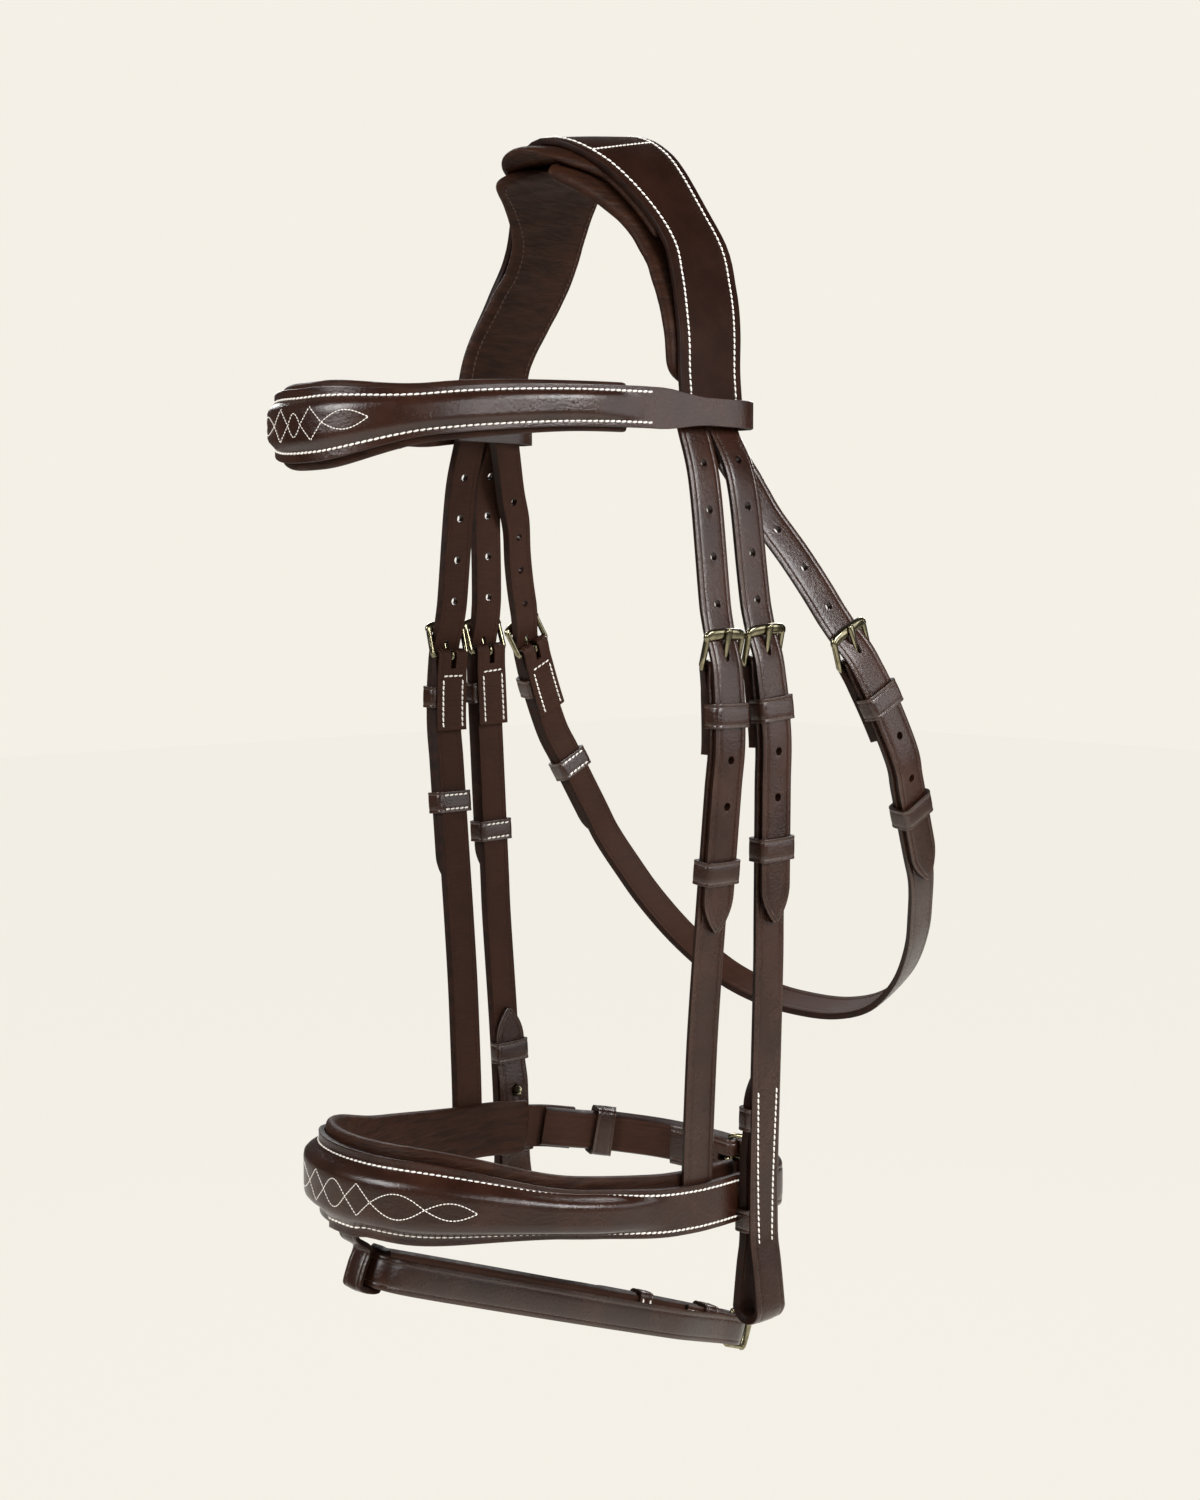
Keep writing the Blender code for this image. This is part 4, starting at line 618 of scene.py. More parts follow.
STRAP_LEATHER = smooth_leather("strap_leather", LEATHER_DARK, LEATHER_WARM, 0.26, gloss=0.48)
BAND_LEATHER = smooth_leather("band_leather", LEATHER_DARK, LEATHER_WARM, 0.24, grain=850.0, bump=0.50, wear_and_crease_light=False, gloss=0.50)
KEEPER_LEATHER = smooth_leather("keeper_leather", LEATHER_DARK, LEATHER_WARM, 0.24, crease=0.0014, gloss=0.60)
CROWN_LEATHER = smooth_leather("crown_leather_finish", CROWN_DARK, CROWN_WARM, 0.52, grain=850.0, bump=0.30, wear_and_crease_light=False, gloss=0.08)
FLESH = flesh_leather("flesh_side")
EDGE = edge_paint("burnished_edge")
LINING = soft_lining("lining_finish")
METAL = polished_steel("buckle_steel")
CREAM_THREAD = waxed_thread("cream_thread", CREAM, CREAM_SHADE)
DARK_THREAD = waxed_thread("brown_thread", BROWN_THREAD, LEATHER_WARM)
FELT = grey_felt("felt_core")
SLOTS = {
    "strap_leather": "bridle_leather",
    "band_leather": "bridle_leather",
    "crown_leather_finish": "bridle_leather",
    "lining_finish": "lining_leather",
    "buckle_steel": "buckle_metal",
}


def hand_over(obj, body, *nodes, slot="bridle_leather"):
    """The piece rides on its body and stands for these nodes."""
    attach(obj, body)
    if nodes:
        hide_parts(*nodes)
    return obj


# Making pieces
def deselect():
    if bpy.context.object and bpy.context.object.mode != "OBJECT":
        bpy.ops.object.mode_set(mode="OBJECT")
    bpy.ops.object.select_all(action="DESELECT")


def take(obj):
    """Makes the object the only one selected, and the active one."""
    deselect()
    obj.select_set(True)
    bpy.context.view_layer.objects.active = obj


def named(name):
    obj = bpy.context.active_object
    obj.name = name
    obj.data.name = name
    return obj


def apply_modifiers(obj):
    take(obj)
    for modifier in list(obj.modifiers):
        bpy.ops.object.modifier_apply(modifier=modifier.name)


def smooth(obj, degrees=40):
    take(obj)
    bpy.ops.object.shade_smooth_by_angle(angle=math.radians(degrees))


def paint(obj, *materials):
    """Puts the materials in the object's slots, the first on every face that has no other."""
    obj.data.materials.clear()
    for material in materials:
        obj.data.materials.append(material)


def thicken(obj, thickness, offset=0.0, flesh=0, edge=0):
    solid = obj.modifiers.new("thickness", "SOLIDIFY")
    solid.thickness = thickness
    solid.offset = offset
    solid.use_even_offset = False
    solid.material_offset = flesh
    solid.material_offset_rim = edge


def round_edges(obj, width, segments=3, degrees=60):
    bevel = obj.modifiers.new("edges", "BEVEL")
    bevel.width = width
    bevel.segments = segments
    bevel.limit_method = "ANGLE"
    bevel.angle_limit = math.radians(degrees)
    bevel.harden_normals = False
    bevel.use_clamp_overlap = True
    bevel.loop_slide = False


def leather_sheet(name, rows, marks):
    """A grid laid over rows of points. Its UV map holds metres along and across; marks are the across values."""
    across, along = len(rows[0]), len(rows)
    deselect()
    bpy.ops.mesh.primitive_grid_add(x_subdivisions=across - 1, y_subdivisions=along - 1, size=1.0)
    obj = named(name)
    mesh = obj.data
    distance = [0.0]
    middle = across // 2
    for before, row in zip(rows, rows[1:]):
        distance.append(distance[-1] + (row[middle] - before[middle]).length)
    for i, vertex in enumerate(mesh.vertices):
        vertex.co = rows[i // across][i % across]
    layer = mesh.uv_layers[0] if mesh.uv_layers else mesh.uv_layers.new(name="UVMap")
    for loop in mesh.loops:
        i = loop.vertex_index
        layer.data[loop.index].uv = (distance[i // across], marks[i // across][i % across])
    return obj


def tube_line(name, points, radius, closed=False, sides=2):
    """A round wire through the points, made a mesh."""
    deselect()
    curve = bpy.data.curves.new(name, "CURVE")
    curve.dimensions = "3D"
    curve.bevel_depth = radius
    curve.bevel_resolution = sides
    curve.use_fill_caps = not closed
    line = curve.splines.new("POLY")
    line.points.add(len(points) - 1)
    for target, point in zip(line.points, points):
        target.co = (*point, 1.0)
    line.use_cyclic_u = closed
    obj = bpy.data.objects.new(name, curve)
    bpy.context.scene.collection.objects.link(obj)
    take(obj)
    bpy.ops.object.convert(target="MESH")
    return bpy.context.active_object


def cutter_pins(name, spine, places, radius, side, depth, stretch=1.0, slant=None, sides=24):
    """Pins that punch the holes, one at each (s, n) of the spine."""
    pins = []
    for s, n in places:
        t, w, out = spine.frame(s)
        if slant:
            along = (t * slant[0] + out * slant[1]).normalized()
            t = (out * slant[0] - t * slant[1]).normalized()
            out = along
        axes = (mirrored(t, side) * stretch, mirrored(w, side), mirrored(out, side))
        deselect()
        bpy.ops.mesh.primitive_cylinder_add(vertices=sides, radius=radius, depth=depth)
        pin = named(name)
        centre = spine.place(s, n, side)
        for vertex in pin.data.vertices:
            co = vertex.co.copy()
            vertex.co = centre + axes[0] * co.x + axes[1] * co.y + axes[2] * co.z
        pins.append(pin)
    deselect()
    for pin in pins:
        pin.select_set(True)
    bpy.context.view_layer.objects.active = pins[0]
    if len(pins) > 1:
        bpy.ops.object.join()
    outwards(pins[0])
    return pins[0]


def outwards(obj):
    take(obj)
    bpy.ops.object.mode_set(mode="EDIT")
    bpy.ops.mesh.select_all(action="SELECT")
    bpy.ops.mesh.normals_make_consistent(inside=False)
    bpy.ops.object.mode_set(mode="OBJECT")


def cutter_block(name, spine, s_range, n_range, width, side):
    deselect()
    bpy.ops.mesh.primitive_cube_add(size=1.0)
    block = named(name)
    for vertex in block.data.vertices:
        s = blend(s_range[0], s_range[1], vertex.co.x + 0.5)
        n = blend(n_range[0], n_range[1], vertex.co.z + 0.5)
        vertex.co = spine.place(s, n, side, vertex.co.y * width)
    outwards(block)
    return block


def punch(obj, tool):
    """Cuts the tool out of the piece and puts the tool away."""
    hole = obj.modifiers.new("hole", "BOOLEAN")
    hole.object = tool
    hole.operation = "DIFFERENCE"
    hole.solver = "EXACT"
    take(obj)
    bpy.ops.object.modifier_apply(modifier=hole.name)
    bpy.data.objects.remove(tool, do_unlink=True)


# Straps
PROFILE = (
    (-1.0, -1.1),
    (-0.95, -0.55),
    (-0.90, -0.20),
    (-0.84, 0.0),
    (-0.81, -0.7),
    (-0.785, -1.0),
    (-0.76, -0.7),
    (-0.73, 0.0),
    (-0.55, 0.28),
    (-0.36, 0.44),
    (-0.18, 0.53),
    (0.0, 0.56),
    (0.18, 0.53),
    (0.36, 0.44),
    (0.55, 0.28),
    (0.73, 0.0),
    (0.76, -0.7),
    (0.785, -1.0),
    (0.81, -0.7),
    (0.84, 0.0),
    (0.90, -0.20),
    (0.95, -0.55),
    (1.0, -1.1),
)
TIP_MARKS = (0.0, 0.12, 0.24, 0.36, 0.47, 0.57, 0.67, 0.76, 0.84, 0.90, 0.945, 0.975, 1.0)
STRAP_EDGE = 0.0007
LEAST_SCALE = 0.62
TIP_TAPER = 0.0150


def tip_share(distance):
    """A strap end's half width as a share, at this distance from its tip."""
    share = min(1.0, max(0.0, distance / TIP_TAPER))
    nose = min(1.0, (share + 0.002) / 0.07)
    return (0.16 + 0.84 * (1.0 - (1.0 - share) ** 2)) * math.sqrt(nose * (2.0 - nose))


def stations(spine, path, steps):
    """Rows of (s, n) read from a smooth curve through the path's points."""
    curve = catmull([Vector((s, n, 0.0)) for s, n in path], steps)
    return [(point.x, point.y) for point in curve]


def strap_rows(centres, acrosses, outs, half, tip):
    """Rows of points across a strap, creased inside its edges, and the widths that they stand at."""
    lengths = [0.0]
    for a, b in zip(centres, centres[1:]):
        lengths.append(lengths[-1] + (b - a).length)
    marks = list(lengths)
    if tip:
        first = lengths[-1] - TIP_TAPER
        marks = [x for x in lengths if x < first] + [first + TIP_TAPER * share for share in TIP_MARKS]
    rows, widths = [], []
    i = 0
    for mark in marks:
        while i < len(lengths) - 2 and lengths[i + 1] < mark:
            i += 1
        share = (mark - lengths[i]) / max(lengths[i + 1] - lengths[i], EPSILON)
        centre = blend(centres[i], centres[i + 1], share)
        across = blend(acrosses[i], acrosses[i + 1], share)
        out = blend(outs[i], outs[i + 1], share).normalized()
        reach = half * (tip_share(lengths[-1] - mark) if tip else 1.0)
        row, width = [], []
        scale = max(LEAST_SCALE, reach / (STRAP_WIDTH / 2))
        for column, lift in PROFILE:
            if abs(column) > 0.5:
                inset = math.copysign(1.0 - (1.0 - abs(column)) / scale, column)
            else:
                inset = column * (1.0 - 0.5 / scale) * 2.0
            height = lift * CREASE_DEPTH
            row.append(centre + across * (reach * inset) + out * (height * min(1.0, reach / half)))
            width.append(reach * (1.0 - abs(inset)))
        rows.append(row)
        widths.append(width)
    return rows, widths


def even(centres):
    """Indices of the rows that are kept: close where the strap bends, wider where it is straight."""
    return thin(centres)


def strap(name, spine, path, side, tip=False, width=STRAP_WIDTH, thickness=STRAP_THICKNESS, skived=()):
    """A flat strap along (s, n) stations of its spine."""
    run = stations(spine, path, STATION_STEPS)
    centres = [spine.place(s, n, side) for s, n in run]
    acrosses = [spine.place(s, n, side, 1.0) - spine.place(s, n, side) for s, n in run]
    return strap_through(name, centres, acrosses, width, thickness, tip, side, skived)


def strap_through(name, centres, acrosses, width, thickness, tip, side=1, skived=()):
    """A strap through these centres. Its grain side is the one that t crossed with w looks to.

    It is pared thinner near each skived place: (point, share of the thickness, reach).
    """
    outs = []
    for i in range(len(centres)):
        before, after = centres[max(0, i - 1)], centres[min(len(centres) - 1, i + 1)]
        outs.append((after - before).normalized().cross(acrosses[i]).normalized() * side)
    kept = even(centres)
    picked = [[values[i] for i in kept] for values in (centres, acrosses, outs)]
    rows, widths = strap_rows(*picked, width / 2, tip)
    obj = leather_sheet(name, rows, widths)
    paint(obj, STRAP_LEATHER, FLESH, EDGE)
    face = obj.data.polygons[len(obj.data.polygons) // 2]
    towards = outs[min(len(outs) - 1, len(outs) // 2)]
    looks_out = face.normal.dot(nearest_out(face.center, centres, outs, towards)) > 0
    if not looks_out:
        obj.data.flip_normals()
    thicken(obj, thickness, 0.0, flesh=1, edge=2)
    if skived:
        pare(obj, skived)
    apply_modifiers(obj)
    return obj


def pare(obj, skived):
    """Weights that thin the leather near the skived places, to half at the least."""
    weights = obj.vertex_groups.new(name="full_thickness")
    for vertex in obj.data.vertices:
        share = 1.0
        for point, thinned, reach in skived:
            share = min(share, blend(thinned, 1.0, ease((vertex.co - point).length / reach - 0.5)))
        weights.add([vertex.index], max(0.0, 2.0 * share - 1.0), "REPLACE")
    solid = obj.modifiers["thickness"]
    solid.vertex_group = weights.name
    solid.thickness_vertex_group = 0.5


def nearest_out(point, centres, outs, fallback):
    best, found = None, fallback
    for centre, out in zip(centres, outs):
        away = (centre - point).length_squared
        if best is None or away < best:
            best, found = away, out
    return found


def finish_strap(obj, segments=3):
    round_edges(obj, STRAP_EDGE, segments)
    apply_modifiers(obj)
    smooth(obj, 42)
    return obj

# Camera, light and stage
CAMERA_TARGET = Vector((0.0, 0.01416, -0.26144))
CAMERA_TOWARDS = Vector((0.7373, -0.6704, 0.0830))
CAMERA_DISTANCE = 0.9381
FLOOR_DROP = 0.9000
BACKGROUND = (0.905, 0.871, 0.799, 1.0)


def set_camera():
    bpy.ops.object.camera_add(location=CAMERA_TARGET + CAMERA_TOWARDS * CAMERA_DISTANCE)
    camera = named("photograph_camera")
    camera.rotation_euler = (-CAMERA_TOWARDS).to_track_quat("-Z", "Y").to_euler()
    camera.data.lens = 50.0
    camera.data.sensor_fit = "VERTICAL"
    camera.data.sensor_height = 36.0
    camera.data.clip_start = 0.02
    bpy.context.scene.camera = camera


def soft_box(name, place, size, watts, target=(0.0, 0.0, -0.28)):
    bpy.ops.object.light_add(type="AREA", location=place)
    light = named(name)
    light.data.shape = "RECTANGLE"
    light.data.size, light.data.size_y = size
    light.data.energy = watts
    light.rotation_euler = (Vector(place) - Vector(target)).to_track_quat("Z", "Y").to_euler()


def set_world():
    world = bpy.data.worlds.new("studio")
    bpy.context.scene.world = world
    world.use_nodes = True
    tree = world.node_tree
    tree.nodes.clear()
    path = tree.nodes.new("ShaderNodeLightPath")
    seen = node(tree, "ShaderNodeBackground", {"Color": BACKGROUND, "Strength": 1.0})
    light = node(tree, "ShaderNodeBackground", {"Color": (1.0, 0.985, 0.96, 1.0), "Strength": 0.07})
    mix = node(tree, "ShaderNodeMixShader", {0: path.outputs["Is Camera Ray"], 1: light.outputs[0], 2: seen.outputs[0]})
    output = tree.nodes.new("ShaderNodeOutputWorld")
    tree.links.new(mix.outputs[0], output.inputs["Surface"])


def lay_floor():
    deselect()
    bpy.ops.mesh.primitive_plane_add(size=14.0)
    floor = named("floor")
    floor.data.transform(Matrix.Translation((0, 0, -FLOOR_DROP)))
    material = bpy.data.materials.new("pale_floor")
    material.use_nodes = True
    tree = material.node_tree
    tree.nodes.clear()
    path = tree.nodes.new("ShaderNodeLightPath")
    matt = node(tree, "ShaderNodeBsdfDiffuse", {"Color": BACKGROUND})
    glow = node(tree, "ShaderNodeEmission", {"Color": BACKGROUND, "Strength": 1.0})
    share = node(tree, "ShaderNodeMath", {0: path.outputs["Is Camera Ray"], 1: 0.98}, operation="MULTIPLY")
    mix = node(tree, "ShaderNodeMixShader", {0: share.outputs[0], 1: matt.outputs[0], 2: glow.outputs[0]})
    output = tree.nodes.new("ShaderNodeOutputMaterial")
    tree.links.new(mix.outputs[0], output.inputs["Surface"])
    floor.data.materials.append(material)


def set_studio():
    deselect()
    set_camera()
    soft_box("front_box", (-0.30, -1.50, 0.50), (0.7, 0.7), 24.0)
    soft_box("side_box", (1.45, 0.22, 0.48), (0.7, 0.6), 25.0)
    soft_box("core_box", (1.35, -0.55, 0.05), (0.6, 0.3), 5.0)
    soft_box("low_box", (1.30, 1.15, -0.10), (0.7, 0.7), 4.0)
    soft_box("far_box", (-1.40, 0.60, 0.60), (0.7, 0.7), 14.0)
    soft_box("rear_box", (-0.70, 1.45, 0.50), (0.7, 0.7), 12.0)
    set_world()
    lay_floor()
    scene = bpy.context.scene
    scene.view_settings.view_transform = "Standard"


set_studio()

# Buckles
class BuckleSizes:
    """The sizes that follow from a strap's width and thickness."""

    def __init__(self, width, thickness, rise):
        self.width = width
        self.thickness = thickness
        self.half = width / 2 + BUCKLE_SIDE_CLEARANCE + BUCKLE_WIRE
        self.fold = BUCKLE_WIRE + CLEARANCE + thickness / 2
        self.ply = thickness / 2 + CLEARANCE / 2
        self.reach = BUCKLE_WINDOW + 2 * BUCKLE_WIRE
        self.rise = rise
        self.over = self.fold + thickness + 2 * CLEARANCE
        self.tail = self.ply + thickness + CLEARANCE
        self.prong = BUCKLE_WIRE + CLEARANCE + PRONG_WIRE
        self.rest = rise + BUCKLE_WIRE + CLEARANCE + PRONG_WIRE


STRAP_BUCKLE = BuckleSizes(STRAP_WIDTH, STRAP_THICKNESS, BUCKLE_RISE)
REAR_BUCKLE = BuckleSizes(REAR_STRAP_WIDTH, STRAP_THICKNESS, BUCKLE_RISE)
FLASH_BUCKLE = BuckleSizes(FLASH_STRAP_WIDTH, FLASH_STRAP_THICKNESS, 0.0)
FRAME_CORNER = 0.0013
CORNER_STEPS = 4
BAR_SECTION = (0.00125, 0.00125)
ARM_SECTION = (0.00120, 0.00130)
FAR_SECTION = (0.00240, 0.00125)
FAR_ARCH = 0.0007
FAR_ARCH_OUT = 0.0004
SECTION_STEPS = 14


def frame_ring(size):
    """(w, r, out, section) round the frame: r is the distance from the bar, and the far bar is broad and arched."""
    half, reach, corner = size.half, size.reach, FRAME_CORNER
    left = []
    for share in (0.0, 0.45, 0.80, 0.93):
        left.append((-half * share, 0.0, 0.0, BAR_SECTION))
    left.append((-half, BUCKLE_WIRE * 0.9, 0.0, ARM_SECTION))
    for share in (0.35, 0.60, 0.80):
        left.append((-half, reach * share, 0.0, ARM_SECTION))
    for step in range(CORNER_STEPS + 1):
        turn = step / CORNER_STEPS * math.pi / 2
        section = tuple(blend(a, b, step / CORNER_STEPS) for a, b in zip(ARM_SECTION, FAR_SECTION))
        w, r = -half + corner * (1 - math.cos(turn)), reach - corner * (1 - math.sin(turn))
        left.append((w - 0.0004 * math.sin(turn * 2), r, 0.0, section))
    for share in (0.72, 0.50, 0.25):
        arch = 1.0 - share * share
        left.append((-half * share, reach + FAR_ARCH * arch, FAR_ARCH_OUT * arch, FAR_SECTION))
    ring = left + [(0.0, reach + FAR_ARCH, FAR_ARCH_OUT, FAR_SECTION)]
    return ring + [(-w, r, out, section) for w, r, out, section in reversed(left[1:])]


def forged_bar(name, centres, normals, sections, closed=True):
    """A forged ring or rod: a rounded section carried along these centres, broad across each normal."""
    count = len(centres)
    rows, marks = [], []
    for i in list(range(count)) + [0] * closed:
        following = (i + 1) % count if closed else min(i + 1, count - 1)
        before = i - 1 if closed else max(i - 1, 0)
        along = (centres[following] - centres[before]).normalized()
        across = normals[i].cross(along).normalized()
        flat, tall = sections[i]
        row = []
        for step in range(SECTION_STEPS + 1):
            turn = 2 * math.pi * (step % SECTION_STEPS) / SECTION_STEPS
            c, s = math.cos(turn), math.sin(turn)
            c, s = (math.copysign(abs(k) ** 0.8, k) for k in (c, s))
            row.append(centres[i] + across * (flat * c) + normals[i] * (tall * s))
        rows.append(row)
        marks.append([0.0] * len(row))
    obj = leather_sheet(name, rows, marks)
    take(obj)
    bpy.ops.object.mode_set(mode="EDIT")
    bpy.ops.mesh.select_all(action="SELECT")
    bpy.ops.mesh.remove_doubles(threshold=0.00002)
    if not closed:
        bpy.ops.mesh.select_all(action="DESELECT")
        bpy.ops.mesh.select_non_manifold()
        bpy.ops.mesh.fill_holes(sides=0)
        bpy.ops.mesh.select_all(action="SELECT")
    bpy.ops.mesh.normals_make_consistent(inside=False)
    bpy.ops.object.mode_set(mode="OBJECT")
    paint(obj, METAL)
    smooth(obj, 50)
    return obj


def buckle_frame(place, spine, s_bar, size, side, body="headpiece"):
    lift = size.rise / size.reach
    centres, sections = [], []
    for w, r, out, section in frame_ring(size):
        centres.append(spine.place(s_bar - r, r * lift + out, side, w))
        sections.append(section)
    origin = spine.place(s_bar, 0.0, side)
    e_w = (spine.place(s_bar, 0.0, side, 1.0) - origin).normalized()
    e_r = (spine.place(s_bar - size.reach, size.rise, side) - origin).normalized()
    normal = e_w.cross(e_r).normalized()
    frame_object = forged_bar("steel_frame_" + place, centres, [normal] * len(centres), sections)
    return hand_over(frame_object, body, "buckle_frame_" + place, slot="buckle_metal")


PRONG_STEPS = 16
PRONG_SECTIONS = ((0.15, 1.1, 1.0), (0.35, 1.3, 1.0), (0.6, 1.7, 1.0), (0.8, 2.1, 0.95), (0.92, 2.1, 0.9), (0.98, 1.6, 0.8), (1.0, 0.9, 0.45))


def buckle_prong(place, spine, s_bar, size, side):
    """Bent wire: most of a turn round the bar, then out to a flat wedge on the frame's far side."""
    slope = math.atan2(size.rest - size.prong, size.reach)
    path = []
    for step in range(PRONG_STEPS + 1):
        turn = math.radians(-120) + (math.radians(210) - slope) * step / PRONG_STEPS
        path.append((size.prong * math.cos(turn), size.prong * math.sin(turn)))
    tip = size.reach + BUCKLE_WIRE * 2
    start_s, start_n = path[-1]
    rest_share = (size.reach + start_s) / (tip + start_s)
    end = (-tip, start_n + (size.rest - start_n) / rest_share)
    sections = [(PRONG_WIRE, PRONG_WIRE)] * len(path)
    for share, broad, tall in PRONG_SECTIONS:
        path.append((blend(start_s, end[0], share), blend(start_n, end[1], share)))
        sections.append((PRONG_WIRE * broad, PRONG_WIRE * tall))
    points = [spine.place(s_bar + s, n, side) for s, n in path]
    across = (spine.place(s_bar, 0.0, side, 1.0) - spine.place(s_bar, 0.0, side)).normalized()
    normals = []
    for i in range(len(points)):
        along = points[min(i + 1, len(points) - 1)] - points[max(i - 1, 0)]
        normals.append(along.cross(across).normalized())
    obj = forged_bar("steel_prong_" + place, points, normals, sections, closed=False)
    body = "prong_" + place
    return hand_over(obj, body, "buckle_prong_" + place, slot="buckle_metal")


# Keepers
KEEPER_BORE_CORNER = 0.0009
KEEPER_ARC = 6
KEEPER_COLUMNS = (-1.0, -0.90, -0.80, -0.72, -0.64, -0.30, 0.0, 0.30, 0.64, 0.72, 0.80, 0.90, 1.0)
KEEPER_CREASE_AT = 0.72


def keeper(name, spine, s, n_range, side, body, nodes, strap_width=STRAP_WIDTH, width=KEEPER_WIDTH, slack=CLEARANCE):
    """A leather loop round a stack of straps, rounded at its corners and creased twice near each edge."""
    half_w = strap_width / 2 + slack
    low, high = n_range[0] - slack, n_range[1] + slack
    half_n = (high - low) / 2
    radius = min(KEEPER_BORE_CORNER, half_n * 0.6)
    outline = []
    for corner in range(4):
        centre_w = (half_w - radius) * (1 if corner in (0, 3) else -1)
        centre_n = (half_n - radius) * (1 if corner in (0, 1) else -1)
        for step in range(KEEPER_ARC):
            turn = (corner + step / (KEEPER_ARC - 1)) * math.pi / 2
            outline.append((centre_w + radius * math.cos(turn), centre_n + radius * math.sin(turn), turn))
        following = (corner + 1) % 4
        next_w = (half_w - radius) * (1 if following in (0, 3) else -1)
        next_n = (half_n - radius) * (1 if following in (0, 1) else -1)
        turn = (corner + 1) * math.pi / 2
        start_w, start_n = outline[-1][0], outline[-1][1]
        stop_w, stop_n = next_w + radius * math.cos(turn), next_n + radius * math.sin(turn)
        for share in (0.33, 0.67):
            outline.append((blend(start_w, stop_w, share), blend(start_n, stop_n, share), turn))
    outline.append(outline[0])
    reach = width / 2
    rows, marks = [], []
    for w, n, turn in outline:
        row, mark = [], []
        for column in KEEPER_COLUMNS:
            grow = -CREASE_DEPTH if abs(abs(column) - KEEPER_CREASE_AT) < 0.01 else 0.0
            point = spine.place(s + reach * column, (low + high) / 2 + n + math.sin(turn) * grow, side, w + math.cos(turn) * grow)
            row.append(point)
            mark.append(reach * (1.0 - abs(column)))
        rows.append(row)
        marks.append(mark)
    obj = leather_sheet(name, rows, marks)
    take(obj)
    bpy.ops.object.mode_set(mode="EDIT")
    bpy.ops.mesh.select_all(action="SELECT")
    bpy.ops.mesh.remove_doubles(threshold=0.00002)
    bpy.ops.object.mode_set(mode="OBJECT")
    centre = sum((v.co for v in obj.data.vertices), Vector()) / len(obj.data.vertices)
    face = obj.data.polygons[len(obj.data.polygons) // 2]
    if face.normal.dot(face.center - centre) < 0:
        obj.data.flip_normals()
    paint(obj, KEEPER_LEATHER, FLESH, EDGE)
    thicken(obj, KEEPER_THICKNESS, 1.0, flesh=1, edge=2)
    round_edges(obj, 0.0005, 2)
    apply_modifiers(obj)
    smooth(obj, 42)
    return hand_over(obj, body, *nodes)


# Stitches
def stitch_shape(length, radius):
    """One stitch along X, a little flattened, as vertices and faces."""
    deselect()
    bpy.ops.mesh.primitive_uv_sphere_add(segments=6, ring_count=4, radius=1.0)
    obj = named("one_stitch")
    for vertex in obj.data.vertices:
        x, y, z = vertex.co
        along = math.copysign(abs(z) ** 0.55, z)
        vertex.co = (along * length / 2, y * radius * 1.15, x * radius)
    outwards(obj)
    vertices = [v.co.copy() for v in obj.data.vertices]
    faces = [tuple(p.vertices) for p in obj.data.polygons]
    bpy.data.objects.remove(obj, do_unlink=True)
    return vertices, faces


def walk(line, pitch):
    """Places at an even pitch along a line of (point, normal): point, direction, normal."""
    lengths = [0.0]
    for (a, _), (b, _) in zip(line, line[1:]):
        lengths.append(lengths[-1] + (b - a).length)
    count = max(1, round(lengths[-1] / pitch))
    places = []
    i = 0
    for k in range(count):
        mark = lengths[-1] * (k + 0.5) / count
        while i < len(line) - 2 and lengths[i + 1] < mark:
            i += 1
        share = (mark - lengths[i]) / max(lengths[i + 1] - lengths[i], EPSILON)
        point = blend(line[i][0], line[i + 1][0], share)
        normal = blend(line[i][1], line[i + 1][1], share).normalized()
        places.append((point, (line[i + 1][0] - line[i][0]).normalized(), normal))
    return places


def sew(name, lines, thread, body, pitch=STITCH_PITCH, length=STITCH_LENGTH, radius=STITCH_RADIUS, slant=7.0, sink=0.25):
    """One mesh of stitches along these lines of (point, normal)."""
    shape, shape_faces = stitch_shape(length, radius)
    vertices, faces = [], []
    for line in lines:
        for point, along, normal in walk(line, pitch):
            across = normal.cross(along).normalized()
            turn = math.radians(slant)
            x_axis = along * math.cos(turn) + across * math.sin(turn)
            y_axis = normal.cross(x_axis).normalized()
            base = len(vertices)
            centre = point + normal * (radius * sink)
            vertices += [centre + x_axis * co.x + y_axis * co.y + normal * co.z for co in shape]
            faces += [tuple(base + i for i in face) for face in shape_faces]
    mesh = bpy.data.meshes.new(name)
    mesh.from_pydata(vertices, [], faces)
    mesh.update()
    obj = bpy.data.objects.new(name, mesh)
    bpy.context.scene.collection.objects.link(obj)
    paint(obj, thread)
    take(obj)
    bpy.ops.object.shade_smooth()
    return hand_over(obj, body)


def seam(spine, side, start, stop, n, w, out=1.0, steps=12):
    """A line of (point, normal) along a spine, at height n and width w; each may be a pair, from start to stop."""
    n_pair = n if isinstance(n, tuple) else (n, n)
    w_pair = w if isinstance(w, tuple) else (w, w)
    line = []
    for i in range(steps + 1):
        share = i / steps
        s = blend(start, stop, share)
        point = spine.place(s, blend(n_pair[0], n_pair[1], share), side, blend(w_pair[0], w_pair[1], share))
        line.append((point, mirrored(spine.frame(s)[2], side) * out))
    return line


# Side straps
HOLES_ABOVE = 4
HOLES_BELOW = 2
HOLE_START_SHARE = 0.9
HOLE_DEPTH_SHARE = 1.5
PRONG_DEPTH_SHARE = 3.4
PRONG_STRETCH_SHARE = 1.5
PRONG_HOLE_SHARE = 0.46
PRONG_HOLE_RADIUS = 0.0016
TURN_BACK_SHARE = 0.45
STUD_HOLE_RADIUS = 0.0020
STUD_SLOT_SHARE = 1.6
SEAM_INSET = 0.0023


FOLD_SKIVE = 0.60
POINT_SKIVE = 0.80
FOLD_PLAY = 0.00015
SKIVE_REACH = 0.0100
POINT_RISE = 0.0016
OVER_PLAY = 0.0002


def fold_radius(size):
    return BUCKLE_WIRE + FOLD_PLAY + size.thickness * FOLD_SKIVE / 2


